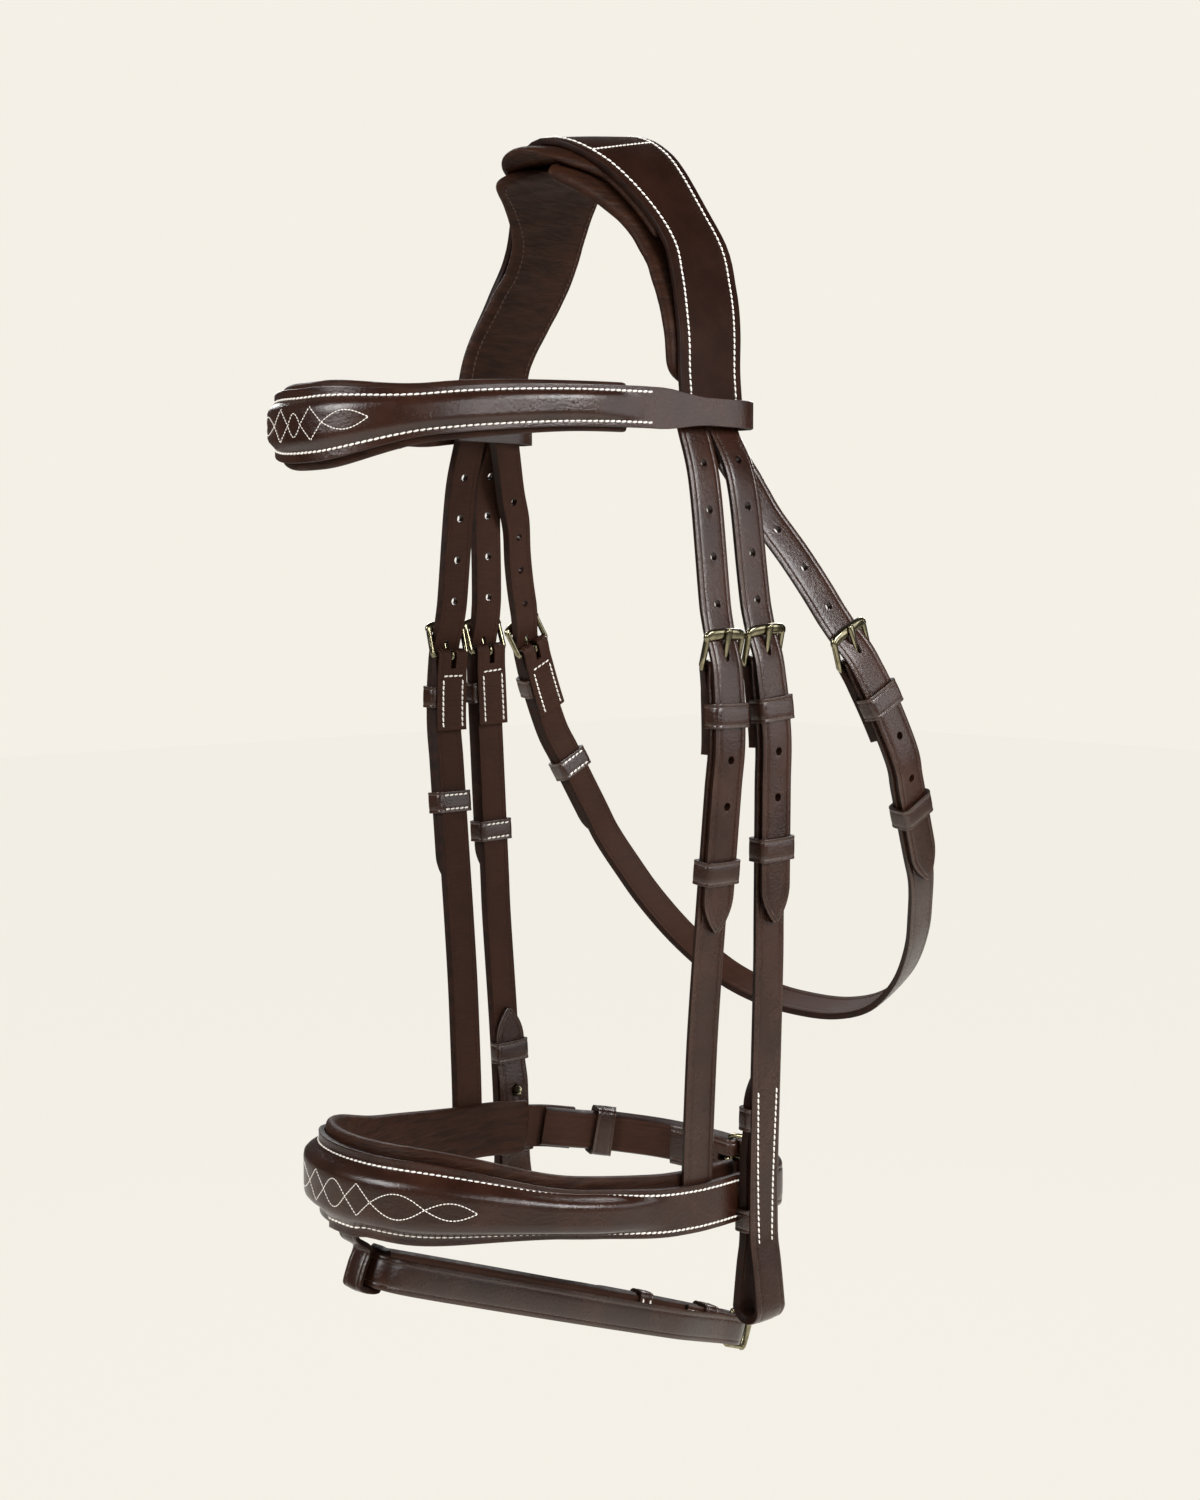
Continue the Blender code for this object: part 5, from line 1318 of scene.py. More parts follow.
def over_height(size):
    return fold_radius(size) + size.thickness * (FOLD_SKIVE + POINT_SKIVE) / 2 + OVER_PLAY


def fold_path(s_bar, size, turn_back, onward):
    """(s, n) of a chape: turned back inside, round the bar and on down the outer ply."""
    fold = fold_radius(size)
    path = [(s_bar + turn_back, -size.ply), (s_bar + turn_back * 0.5, -size.ply)]
    path.append((s_bar + fold * 4.0, -size.ply))
    path.append((s_bar + fold * 1.2, -fold * 0.92))
    for step in range(5):
        turn = math.radians(-90 - 45 * step)
        path.append((s_bar + fold * math.cos(turn), fold * math.sin(turn)))
    path.append((s_bar + fold * 1.2, fold * 0.92))
    path.append((s_bar + fold * 4.0, size.ply))
    for s in onward:
        path.append((s, size.ply))
    return path


def point_path(s_top, s_bar, size, tail):
    """(s, n) of a punched strap: behind the frame's far side, over the bar and down as the tail."""
    reach, over = size.reach, over_height(size)
    path = [(s_top, 0.0)]
    count = 5
    for i in range(1, count):
        path.append((blend(s_top, s_bar - reach * 2.4, i / count), 0.0))
    path.append((s_bar - reach * 2.1, 0.0))
    path.append((s_bar - reach * 1.5, POINT_RISE * 0.40))
    path.append((s_bar - reach, POINT_RISE))
    path.append((s_bar - reach * 0.5, blend(POINT_RISE, over, 0.60)))
    path.append((s_bar, over))
    path.append((s_bar + reach * 0.6, blend(over, size.tail, 0.7)))
    path.append((s_bar + reach * 1.1, size.tail))
    for share in (0.3, 0.5, 0.7, 0.88, 1.0):
        path.append((s_bar + tail * share, size.tail))
    return path


def fold_skive(spine, s_bar, side):
    return (spine.place(s_bar, 0.0, side), FOLD_SKIVE, SKIVE_REACH)


def point_skive(spine, s_bar, size, side):
    return (spine.place(s_bar - size.reach * 0.3, over_height(size), side), POINT_SKIVE, SKIVE_REACH * 1.3)


def cut_fold_slot(place, chape, spine, s_bar, size, side):
    reach = size.fold + size.thickness
    across = (s_bar - reach, s_bar + reach)
    punch(chape, cutter_block("fold_slot_" + place, spine, across, (-reach, reach), PRONG_SLOT_WIDTH, side))


def punch_point(place, obj, spine, s_bar, size, side, above, below):
    """The row of round holes above and below the buckle, and the one that the prong is in."""
    places = [(s_bar - size.reach / 2 - HOLE_PITCH * (i + 1), 0.0) for i in range(above)]
    places += [(s_bar + UPPER_KEEPER_DROP + HOLE_PITCH * (i + HOLE_START_SHARE), size.tail) for i in range(below)]
    depth = size.thickness * HOLE_DEPTH_SHARE
    punch(obj, cutter_pins("holes_" + place, spine, places, HOLE_RADIUS, side, depth))
    prong_hole(place, obj, spine, s_bar, size, side, PRONG_HOLE_SHARE)


def prong_hole(place, obj, spine, s_bar, size, side, share):
    spot = (s_bar - size.reach * share, blend(size.prong, size.rest, share))
    slant = (-size.reach, size.rest - size.prong)
    depth = size.thickness * PRONG_DEPTH_SHARE
    punch(obj, cutter_pins("prong_hole_" + place, spine, [spot], PRONG_HOLE_RADIUS, side, depth, PRONG_STRETCH_SHARE, slant))


def side_buckle(place, spine, s_bar, side):
    """The headpiece's point strap, its buckle and the two keepers over the chape."""
    size = STRAP_BUCKLE
    run = point_path(0.0, s_bar, size, TAIL_LENGTH)
    point = strap("point_strap_" + place, spine, run, side, tip=True, skived=[point_skive(spine, s_bar, size, side)])
    punch_point(place, point, spine, s_bar, size, side, HOLES_ABOVE, HOLES_BELOW)
    finish_strap(point)
    hand_over(point, "headpiece", "point_" + place)
    buckle_frame(place, spine, s_bar, size, side)
    buckle_prong(place, spine, s_bar, size, side)
    outer = size.tail + size.thickness / 2
    upper = s_bar + UPPER_KEEPER_DROP
    keeper("upper_loop_" + place, spine, upper, (KEEPER_THICKNESS / 2 + CLEARANCE, outer), side, "headpiece", ["keeper_upper_" + place])
    below = s_bar + KEEPER_DROPS[place]
    stack = (size.ply - size.thickness / 2, outer)
    keeper("sliding_loop_" + place, spine, below, stack, side, "keeper_" + place, ["keeper_sliding_" + place])
    rows = keeper_seams(spine, below, stack[0], side, STRAP_WIDTH, KEEPER_WIDTH)
    sew("loop_stitches_" + place, rows, CREAM_THREAD, "keeper_" + place)


FOLD_SEAM_START = 0.0115
FOLD_SEAM_MARGIN = 0.0015


def fold_seams(spine, s_bar, size, side, turn_back):
    """The rows that hold a turned-back end, seen on both faces of the chape, and the one across its top."""
    start, stop = s_bar + FOLD_SEAM_START, s_bar + turn_back - FOLD_SEAM_MARGIN
    inset = size.width / 2 - SEAM_INSET
    face = size.ply + size.thickness / 2
    lines = []
    for n, out in ((-face, -1.0), (face, 1.0)):
        for w in (-inset, inset):
            lines.append(seam(spine, side, start, stop, n, w, out))
        lines.append(seam(spine, side, start - STITCH_PITCH * 0.7, start - STITCH_PITCH * 0.7, n, (-inset, inset), out))
    return lines


KEEPER_SEAM_INSET = 0.0017


def keeper_seams(spine, s, low, side, strap_width, width, slack=CLEARANCE):
    """Two rows across the inner face of a keeper, where its ends are sewn together."""
    n = low - slack - KEEPER_THICKNESS
    half = strap_width / 2 - KEEPER_SEAM_INSET * 0.6
    lines = []
    for edge in (-1, 1):
        at = s + edge * (width / 2 - KEEPER_SEAM_INSET)
        lines.append(seam(spine, side, at, at, n, (-half, half), -1.0))
    return lines


def dull_turn_back(obj, spine, s_bar, size, side, turn_back):
    """Gives the face of the turned-back end, which lies to the head, the look of the strap's inner side."""
    spots = []
    for s in run_of(s_bar + size.fold, s_bar + turn_back):
        spots.append((spine.place(s, -size.ply, side), spine.place(s, -1.0, side) - spine.place(s, 0.0, side)))
    for face in obj.data.polygons:
        for spot, inwards in spots:
            away = face.center - spot
            if away.length < RUN_SPACING and face.normal.dot(inwards) > 0.7 and abs(away.dot(inwards)) < size.thickness:
                face.material_index = 1


def make_nose_cheek(side, word):
    size = STRAP_BUCKLE
    stop = s_at_drop(NOSE, NOSEBAND_DROP - NOSE_STRAP_CUT)
    onward = run_of(NOSE_BAR + TURN_BACK_LENGTH * TURN_BACK_SHARE, stop)
    run = fold_path(NOSE_BAR, size, TURN_BACK_LENGTH, onward)
    chape = strap("nose_strap_" + word, NOSE, run, side, skived=[fold_skive(NOSE, NOSE_BAR, side)])
    cut_fold_slot("nose_" + word, chape, NOSE, NOSE_BAR, size, side)
    finish_strap(chape)
    dull_turn_back(chape, NOSE, NOSE_BAR, size, side, TURN_BACK_LENGTH)
    hand_over(chape, "headpiece", "noseband_cheek_" + word)
    side_buckle("nose_" + word, NOSE, NOSE_BAR, side)
    sew("fold_stitches_nose_" + word, fold_seams(NOSE, NOSE_BAR, size, side, TURN_BACK_LENGTH), CREAM_THREAD, "headpiece")


BILLET_PLY = STRAP_BUCKLE.ply - STRAP_THICKNESS - STUD_DISC_THICKNESS - 2 * CLEARANCE
LOOP_DEGREES = (110, 75, 40, 0, -40, -75, -110)
LOOP_NECK_SHARES = ((1.35, 0.0), (0.95, 0.04), (0.62, 0.28))
BILLET_SEAM_TOP = 0.1040
BILLET_SEAM_END = 0.0330
BILLET_SEAM_DRAW = 0.0018


def billet_path(size, bottom):
    """(s, n) of the bit loop and of the billet that comes back up inside to the stud."""
    centre_n = (size.ply + BILLET_PLY) / 2
    centre_s = bottom - BIT_LOOP_RADIUS - STRAP_THICKNESS / 2
    path = []
    for length, open_share in LOOP_NECK_SHARES:
        path.append((centre_s - BIT_LOOP_LENGTH * length, size.ply + BIT_LOOP_RADIUS * open_share))
    for degrees in LOOP_DEGREES:
        turn = math.radians(degrees)
        path.append((centre_s + BIT_LOOP_RADIUS * math.cos(turn), centre_n + BIT_LOOP_RADIUS * math.sin(turn)))
    for length, open_share in reversed(LOOP_NECK_SHARES):
        path.append((centre_s - BIT_LOOP_LENGTH * length, BILLET_PLY - BIT_LOOP_RADIUS * open_share))
    for height in (STUD_HEIGHT - STUD_DISC_RADIUS, STUD_HEIGHT + STUD_DISC_RADIUS):
        path.append((bottom - height, BILLET_PLY))
    for height in (BILLET_KEEPER_HIGH - KEEPER_WIDTH / 2, BILLET_KEEPER_HIGH + KEEPER_WIDTH / 2, BILLET_LENGTH):
        path.append((bottom - height, -size.ply))
    return path


def make_cheekpiece(side, word):
    size = STRAP_BUCKLE
    bottom = s_at_drop(CHEEK, BIT_DROP - BIT_DROP_MARGIN) + BIT_DROP_MARGIN
    lower = bottom - BIT_LOOP_RADIUS - STRAP_THICKNESS / 2 - BIT_LOOP_LENGTH * LOOP_NECK_SHARES[0][0]
    onward = run_of(CHEEK_BAR + TURN_BACK_LENGTH * TURN_BACK_SHARE, lower)
    path = fold_path(CHEEK_BAR, size, TURN_BACK_LENGTH, onward[:-1]) + billet_path(size, bottom)
    chape = strap("cheek_strap_" + word, CHEEK, path, side, tip=True, skived=[fold_skive(CHEEK, CHEEK_BAR, side)])
    cut_fold_slot("cheek_" + word, chape, CHEEK, CHEEK_BAR, size, side)
    depth = STRAP_THICKNESS * HOLE_DEPTH_SHARE
    spots = [(bottom - STUD_HEIGHT, BILLET_PLY)]
    punch(chape, cutter_pins("stud_hole_" + word, CHEEK, spots, STUD_HOLE_RADIUS, side, depth, STUD_SLOT_SHARE))
    finish_strap(chape)
    dull_turn_back(chape, CHEEK, CHEEK_BAR, size, side, TURN_BACK_LENGTH)
    hand_over(chape, "headpiece", "cheekpiece_" + word)
    side_buckle("cheek_" + word, CHEEK, CHEEK_BAR, side)
    stack = size.ply + STRAP_THICKNESS / 2
    sewn_in = size.ply - STRAP_THICKNESS / 2
    upper = bottom - BILLET_KEEPER_HIGH
    keeper("billet_loop_upper_" + word, CHEEK, upper, (-stack, sewn_in), side, "headpiece", ["keeper_billet_" + word])
    low = BILLET_PLY - STRAP_THICKNESS / 2 - BIT_LOOP_RADIUS * 0.04
    keeper("billet_loop_lower_" + word, CHEEK, bottom - BILLET_KEEPER_LOW - BIT_LOOP_RADIUS, (low, sewn_in), side, "headpiece", [])
    lines = fold_seams(CHEEK, CHEEK_BAR, size, side, TURN_BACK_LENGTH)
    face = size.ply + STRAP_THICKNESS / 2
    inset = size.width / 2 - SEAM_INSET
    for w in (-1, 1):
        start, stop = bottom - BILLET_SEAM_TOP, bottom - BILLET_SEAM_END
        narrowed = inset - BILLET_SEAM_DRAW
        lines.append(seam(CHEEK, side, start, stop, face, (w * inset, w * narrowed), steps=24))
    sew("cheek_stitches_" + word, lines, CREAM_THREAD, "headpiece")


def make_throatlash():
    """One strap with a chape and a buckle at each end."""
    size = STRAP_BUCKLE
    whole = THROAT.length
    start = THROAT_BAR + TURN_BACK_LENGTH * TURN_BACK_SHARE
    easing = (THROAT_BAR + TAIL_LENGTH, THROAT_BAR + TAIL_LENGTH + RUN_SPACING)
    half = [(s, n) for s, n in fold_path(THROAT_BAR, size, TURN_BACK_LENGTH, run_of(start, easing[0]))]
    half += [(s, 0.0) for s in run_of(easing[1], whole / 2)]
    path = half + [(whole - s, n) for s, n in reversed(half[:-1])]
    lash = strap("throat_strap", THROAT, path, 1, skived=[fold_skive(THROAT, THROAT_BAR, side) for side, _ in SIDES])
    for side, word in SIDES:
        cut_fold_slot("throat_" + word, lash, THROAT, THROAT_BAR, size, side)
    finish_strap(lash)
    for side, _ in SIDES:
        dull_turn_back(lash, THROAT, THROAT_BAR, size, side, TURN_BACK_LENGTH)
    hand_over(lash, "headpiece", "throatlash")
    for side, word in SIDES:
        side_buckle("throat_" + word, THROAT, THROAT_BAR, side)
        lines = fold_seams(THROAT, THROAT_BAR, size, side, TURN_BACK_LENGTH)
        sew("fold_stitches_throat_" + word, lines, CREAM_THREAD, "headpiece")


def make_sides():
    for side, word in SIDES:
        make_nose_cheek(side, word)
        make_cheekpiece(side, word)
    make_throatlash()


make_sides()

# Crown
CROWN_PADDING_REACH_SHARE = 0.46
SIDE_PAD_FORWARD = 0.0030
SIDE_PAD_REACH_SHARES = (0.055, 0.93)
CROWN_ROWS = 80
PADDING_ROWS = 72
SIDE_PAD_ROWS = 56
CROWN_COLUMNS = (-1.0, -0.965, -0.90, -0.70, -0.40, 0.0, 0.40, 0.70, 0.90, 0.965, 1.0)
PAD_COLUMNS = (-1.0, -0.97, -0.92, -0.84, -0.72, -0.56, -0.36, -0.12, 0.12, 0.36, 0.56, 0.72, 0.84, 0.92, 0.97, 1.0)
PAD_EDGE_SHARE = 0.16
CROWN_SEAM_INSET = 0.0042


def crown_frame(share, offset):
    s = CROWN.length / 2 * (1 + share)
    _, w, n = CROWN.frame(s)
    return CROWN.position(s) + n * offset, w, n


def leather_width(share):
    narrow = ease(share / 0.45)
    return blend(CROWN_TOP_WIDTH, CROWN_SIDE_WIDTH, narrow), 0.0


def padding_width(share):
    narrow = ease(share / 0.24)
    width = blend(CROWN_PADDING_TOP_WIDTH, leather_width(share)[0] - 0.001, narrow)
    return width, -(CROWN_PADDING_TOP_WIDTH - CROWN_TOP_WIDTH) / 4 * (1 - narrow)


def side_pad_width(share):
    narrow = ease((share - SIDE_PAD_REACH_SHARES[0]) / 0.36)
    along = min(1.0, max(0.0, (share - SIDE_PAD_REACH_SHARES[0]) / 0.85))
    front = blend(SIDE_PAD_TOP_FRONT, SIDE_PAD_WIDTH / 2, narrow) + SIDE_PAD_FORWARD * math.sin(math.pi * along)
    rear = blend(SIDE_PAD_TOP_REAR, SIDE_PAD_WIDTH / 2, narrow)
    return front + rear, (rear - front) / 2


def crown_seam(shift, side_share, lift, start=-0.97, stop=0.97, steps=80):
    """A line along the crown leather, inside its front edge for side_share -1 and its rear edge for 1."""
    line = []
    for i in range(steps + 1):
        share = blend(start, stop, i / steps)
        width, _ = leather_width(abs(share))
        centre, w, n = crown_frame(share, CROWN_LEATHER_THICKNESS / 2 + lift)
        line.append((centre + w * ((width / 2 - shift) * side_share), n))
    return line


def make_crown_leather():
    rows, marks = [], []
    for i in range(CROWN_ROWS + 1):
        share = blend(-1.0, 1.0, i / CROWN_ROWS)
        width, _ = leather_width(abs(share))
        centre, w, n = crown_frame(share, 0.0)
        rows.append([centre + w * (width / 2 * a) + n * (0.0005 * (1 - a * a)) for a in CROWN_COLUMNS])
        marks.append([width / 2 * (1 - abs(a)) for a in CROWN_COLUMNS])
    obj = leather_sheet("crown_strap", rows, marks)
    paint(obj, CROWN_LEATHER, FLESH, EDGE)
    face_out(obj, CROWN.position(CROWN.length / 2) - Vector((0, 0, 0.2)))
    thicken(obj, CROWN_LEATHER_THICKNESS, 0.0, flesh=1, edge=2)
    round_edges(obj, 0.0009, 3)
    apply_modifiers(obj)
    smooth(obj, 42)
    hand_over(obj, "headpiece", "crown_leather")
    lines = [crown_seam(CROWN_SEAM_INSET, -1, 0.0002), crown_seam(CROWN_SEAM_INSET, 1, 0.0002)]
    for share in (-0.13, 0.13):
        width, _ = leather_width(abs(share))
        line = []
        for i in range(25):
            across = blend(-1.0, 1.0, i / 24)
            centre, w, n = crown_frame(share, CROWN_LEATHER_THICKNESS / 2 + 0.0003)
            line.append((centre + w * (across * (width / 2 - CROWN_SEAM_INSET)), n))
        lines.append(line)
    sew("crown_stitches", lines, CREAM_THREAD, "headpiece")


def face_out(obj, inside):
    """Turns an open sheet so that its faces look away from a point."""
    total = 0.0
    for face in obj.data.polygons:
        total += face.normal.dot(face.center - inside) * face.area
    if total < 0:
        obj.data.flip_normals()


def pillow(name, frames, thickness, fill, wrinkle, inside_out=False):
    """A closed padded strip. Each frame is (centre, across, out, half width, end share)."""
    loop = []
    for a in PAD_COLUMNS:
        loop.append((a, 1.0))
    for a in reversed(PAD_COLUMNS[1:-1]):
        loop.append((a, -1.0))
    rows, marks = [], []
    for k, (centre, across, out, half, end) in enumerate(frames):
        row, mark = [], []
        for a, face in loop + [loop[0]]:
            rim = min(1.0, (1.0 - abs(a)) / PAD_EDGE_SHARE)
            swell = math.sqrt(max(0.0, rim * (2.0 - rim)))
            crown = 1.0 + fill * (1.0 - a * a)
            ripple = wrinkle * math.sin(k * 2.1 + a * 3.0) * math.sin(k * 0.83 + 1.7 * a + 0.4) * swell
            reach = thickness / 2 * swell * end * (crown if face < 0 else 1.0)
            row.append(centre + across * (half * a) + out * (face * (reach + ripple * (1.0 if face < 0 else 0.4))))
            mark.append(half * (1 - abs(a)))
        rows.append(row)
        marks.append(mark)
    obj = leather_sheet(name, rows, marks)
    take(obj)
    bpy.ops.object.mode_set(mode="EDIT")
    bpy.ops.mesh.select_all(action="SELECT")
    bpy.ops.mesh.remove_doubles(threshold=0.00002)
    bpy.ops.mesh.select_all(action="DESELECT")
    bpy.ops.mesh.select_non_manifold()
    bpy.ops.mesh.fill_holes(sides=0)
    bpy.ops.mesh.select_all(action="SELECT")
    bpy.ops.mesh.normals_make_consistent(inside=False)
    bpy.ops.object.mode_set(mode="OBJECT")
    paint(obj, LINING)
    refine = obj.modifiers.new("refine", "SUBSURF")
    refine.levels = 1
    refine.render_levels = 1
    apply_modifiers(obj)
    smooth(obj, 60)
    return obj


def make_crown_padding():
    under = (CROWN_LEATHER_THICKNESS + CROWN_PADDING_THICKNESS) / 2 + CLEARANCE
    reach = CROWN_PADDING_REACH_SHARE
    frames = []
    for i in range(PADDING_ROWS + 1):
        share = blend(-reach, reach, i / PADDING_ROWS)
        width, shift = padding_width(abs(share))
        centre, w, n = crown_frame(share, -under)
        gone = (reach - abs(share)) * CROWN.length / 2
        end = math.sqrt(max(0.02, 1 - (1 - min(1.0, gone / 0.006)) ** 2))
        frames.append((centre + w * shift, w, n, width / 2, end))
    pad = pillow("crown_pad", frames, CROWN_PADDING_THICKNESS, 0.0, 0.00012)
    hand_over(pad, "headpiece", "crown_padding", slot="lining_leather")
    deep = under + (CROWN_PADDING_THICKNESS + SIDE_PAD_THICKNESS) / 2 + 2 * CLEARANCE
    shallow = (CROWN_LEATHER_THICKNESS + SIDE_PAD_THICKNESS) / 2 + CLEARANCE
    start, stop = SIDE_PAD_REACH_SHARES
    rounding = SIDE_PAD_WIDTH / 4
    for side, word in SIDES:
        frames, rim = [], []
        for i in range(SIDE_PAD_ROWS + 1):
            share = blend(start, stop, i / SIDE_PAD_ROWS)
            offset = -blend(deep, shallow, ease((share - reach) / 0.34))
            width, shift = side_pad_width(share)
            centre, w, n = crown_frame(share, offset)
            gone = min(share - start, stop - share) * CROWN.length / 2
            end = math.sqrt(max(0.0, 1 - (1 - min(1.0, (gone + rounding * 0.1) / rounding)) ** 2))
            flat = math.sqrt(max(0.03, 1 - (1 - min(1.0, gone / 0.007)) ** 2))
            frames.append((mirrored(centre + w * shift, side), mirrored(w, side), mirrored(n, side), width / 2 * end, flat))
            rim.append((centre + w * shift, w, n, width / 2 * end))
        pad = pillow("side_pad_" + word + "_lining", frames, SIDE_PAD_THICKNESS, 0.12, 0.00022)
        hand_over(pad, "headpiece", "side_pad_" + word, slot="lining_leather")
        lines = []
        for edge in (-1, 1):
            line = []
            for centre, w, n, half in rim[3:-3]:
                point = centre + w * (edge * (half - 0.0042)) - n * (SIDE_PAD_THICKNESS / 2 * 1.02)
                line.append((mirrored(point, side), mirrored(-n, side)))
            lines.append(line)
        sew("pad_stitches_" + word, lines, DARK_THREAD, "headpiece")


make_crown_leather()
make_crown_padding()


# Noseband
BAND_SHARES = (
    (0.0, -1.0, 1.0, 0.0),
    (0.371, -0.946, 0.97, 0.0),
    (0.681, -0.767, 0.83, 0.0),
    (0.891, -0.512, 0.50, 0.0),
    (0.984, -0.217, 0.15, 0.0),
    (1.0, -0.060, 0.02, 0.0),
    (1.0, 0.054, 0.0, 0.02),
    (0.968, 0.178, 0.0, 0.10),
    (0.916, 0.326, 0.0, 0.25),
    (0.842, 0.442, 0.0, 0.45),
)
BAND_TAPER_SHARES = (0.13, 0.46)
BAND_BULGE_SHARES = (0.50, 0.645)
BAND_PADDING_REACH_SHARE = 0.88
BAND_CORE_HEIGHT_SHARE = 0.42
BAND_FLAT_SHARE = 0.78
BAND_TAB_SHARES = (0.035, 0.060)
BAND_STEPS = 110
WIDE_COLUMNS = (
    -1.0, -0.95, -0.88, -0.80, -0.72, -0.65, -0.58, -0.52, -0.46, -0.38, -0.25, -0.10,
    0.10, 0.25, 0.38, 0.46, 0.52, 0.58, 0.65, 0.72, 0.80, 0.88, 0.95, 1.0,
)
STRAP_LAYER = (NOSE_LEATHER_THICKNESS + STRAP_THICKNESS) / 2 + CLEARANCE
PADDING_FACE = STRAP_LAYER + STRAP_THICKNESS / 2 + CLEARANCE


def band_points():
    points = []
    for x, y, lift, drop in BAND_SHARES:
        z = -NOSEBAND_DROP + NOSE_FRONT_LIFT * lift - NOSE_REAR_DROP * drop
        points.append(Vector((NOSE_HALF_WIDTH * x, NOSE_FRONT * y, z)))
    return [mirrored(p, -1) for p in reversed(points[1:])] + points


BAND = Spine(band_points(), (0, 0, 1), steps=8)


def band_height(share):
    start, stop = BAND_TAPER_SHARES
    return blend(NOSE_FRONT_HEIGHT, NOSE_SIDE_HEIGHT, ease((share - start) / (stop - start)))


def band_lift(share, column):
    """How far the noseband's leather stands out at this place along and across it."""
    start, stop = BAND_BULGE_SHARES
    raised = 1.0 - ease((share - start) / (stop - start))
    low = -(PADDING_FACE - CLEARANCE - NOSE_LEATHER_THICKNESS / 2)
    first, last = BAND_TAB_SHARES
    tab = 1.0 - ease((share - first) / (last - first))
    edge = low if column > 0 else blend(low, low + FLASH_LOOP_THICKNESS + 3 * CLEARANCE, tab)
    flat = ease((abs(column) - BAND_CORE_HEIGHT_SHARE) / (BAND_FLAT_SHARE - BAND_CORE_HEIGHT_SHARE))
    return blend(NOSE_BULGE, edge, flat) * raised


def band_sheet(name, spine, height, lift, thickness, reach=1.0):
    half = spine.length / 2
    rows, marks = [], []
    for i in range(BAND_STEPS + 1):
        share = blend(-reach, reach, i / BAND_STEPS)
        tall = height(abs(share)) / 2
        rows.append([spine.place(half * (1 + share), lift(abs(share), a), 1, a * tall) for a in WIDE_COLUMNS])
        marks.append([tall * (1 - abs(a)) for a in WIDE_COLUMNS])
    obj = leather_sheet(name, rows, marks)
    paint(obj, BAND_LEATHER, FLESH, EDGE)
    face_out(obj, Vector((0, 0.02, rows[0][0].z)))
    thicken(obj, thickness, 0.0, flesh=1, edge=2)
    round_edges(obj, 0.0007, 3)
    apply_modifiers(obj)
    smooth(obj, 42)
    return obj


def band_seam(spine, height, lift, thickness, column, start, stop, steps=90):
    """A line on the leather at a share across it, from start to stop, shares of half the band."""
    half = spine.length / 2
    line = []
    for i in range(steps + 1):
        share = blend(start, stop, i / steps)
        s = half * (1 + share)
        a = column(abs(share)) if callable(column) else column
        point = spine.place(s, lift(abs(share), a) + thickness / 2, 1, a * height(abs(share)) / 2)
        line.append((point, spine.frame(s)[2]))
    return line


def band_pad(name, spine, half_height, n, shift, thickness, reach):
    frames = []
    half = spine.length / 2
    for i in range(BAND_STEPS + 1):
        share = blend(-reach, reach, i / BAND_STEPS)
        s = half * (1 + share)
        _, w, out = spine.frame(s)
        gone = (reach - abs(share)) * half
        end = math.sqrt(max(0.02, 1 - (1 - min(1.0, gone / 0.006)) ** 2))
        frames.append((spine.position(s) + out * n + w * shift, w, out, half_height(abs(share)), end))
    pad = pillow(name, frames, thickness, 0.10, 0.00015)
    return pad


def make_noseband():
    leather = band_sheet("noseband_strap", BAND, band_height, band_lift, NOSE_LEATHER_THICKNESS)
    hand_over(leather, "headpiece", "noseband_leather")
    pad = band_pad(
        "noseband_pad",
        BAND,
        lambda share: (band_height(share) + NOSE_PADDING_MARGIN) / 2,
        -(PADDING_FACE + NOSE_PADDING_THICKNESS / 2),
        NOSE_PADDING_LIFT,
        NOSE_PADDING_THICKNESS,
        BAND_PADDING_REACH_SHARE,
    )
    hand_over(pad, "headpiece", "noseband_padding", slot="lining_leather")
    lines = []
    for edge in (-1, 1):
        lines.append(band_seam(BAND, band_height, band_lift, NOSE_LEATHER_THICKNESS, 0.76 * edge, -0.93, 0.93, 180))
    sew("noseband_stitches", lines, CREAM_THREAD, "headpiece")


REAR_SHARES = (
    (0.880, 0.431, 0.23),
    (0.8055, 0.589, 0.45),
    (0.705, 0.768, 0.72),
    (0.433, 0.942, 0.93),
    (0.0, 1.0, 1.0),
)


def rear_points():
    """From the left end of the noseband round behind the jaw to the right end."""
    points = []
    for x, y, drop in REAR_SHARES:
        points.append(Vector((NOSE_HALF_WIDTH * x, NOSE_REAR * y, -NOSEBAND_DROP - NOSE_REAR_DROP * drop)))
    return points + [mirrored(p, -1) for p in reversed(points[:-1])]


REAR = Spine(rear_points(), (0, 0, 1), steps=8)


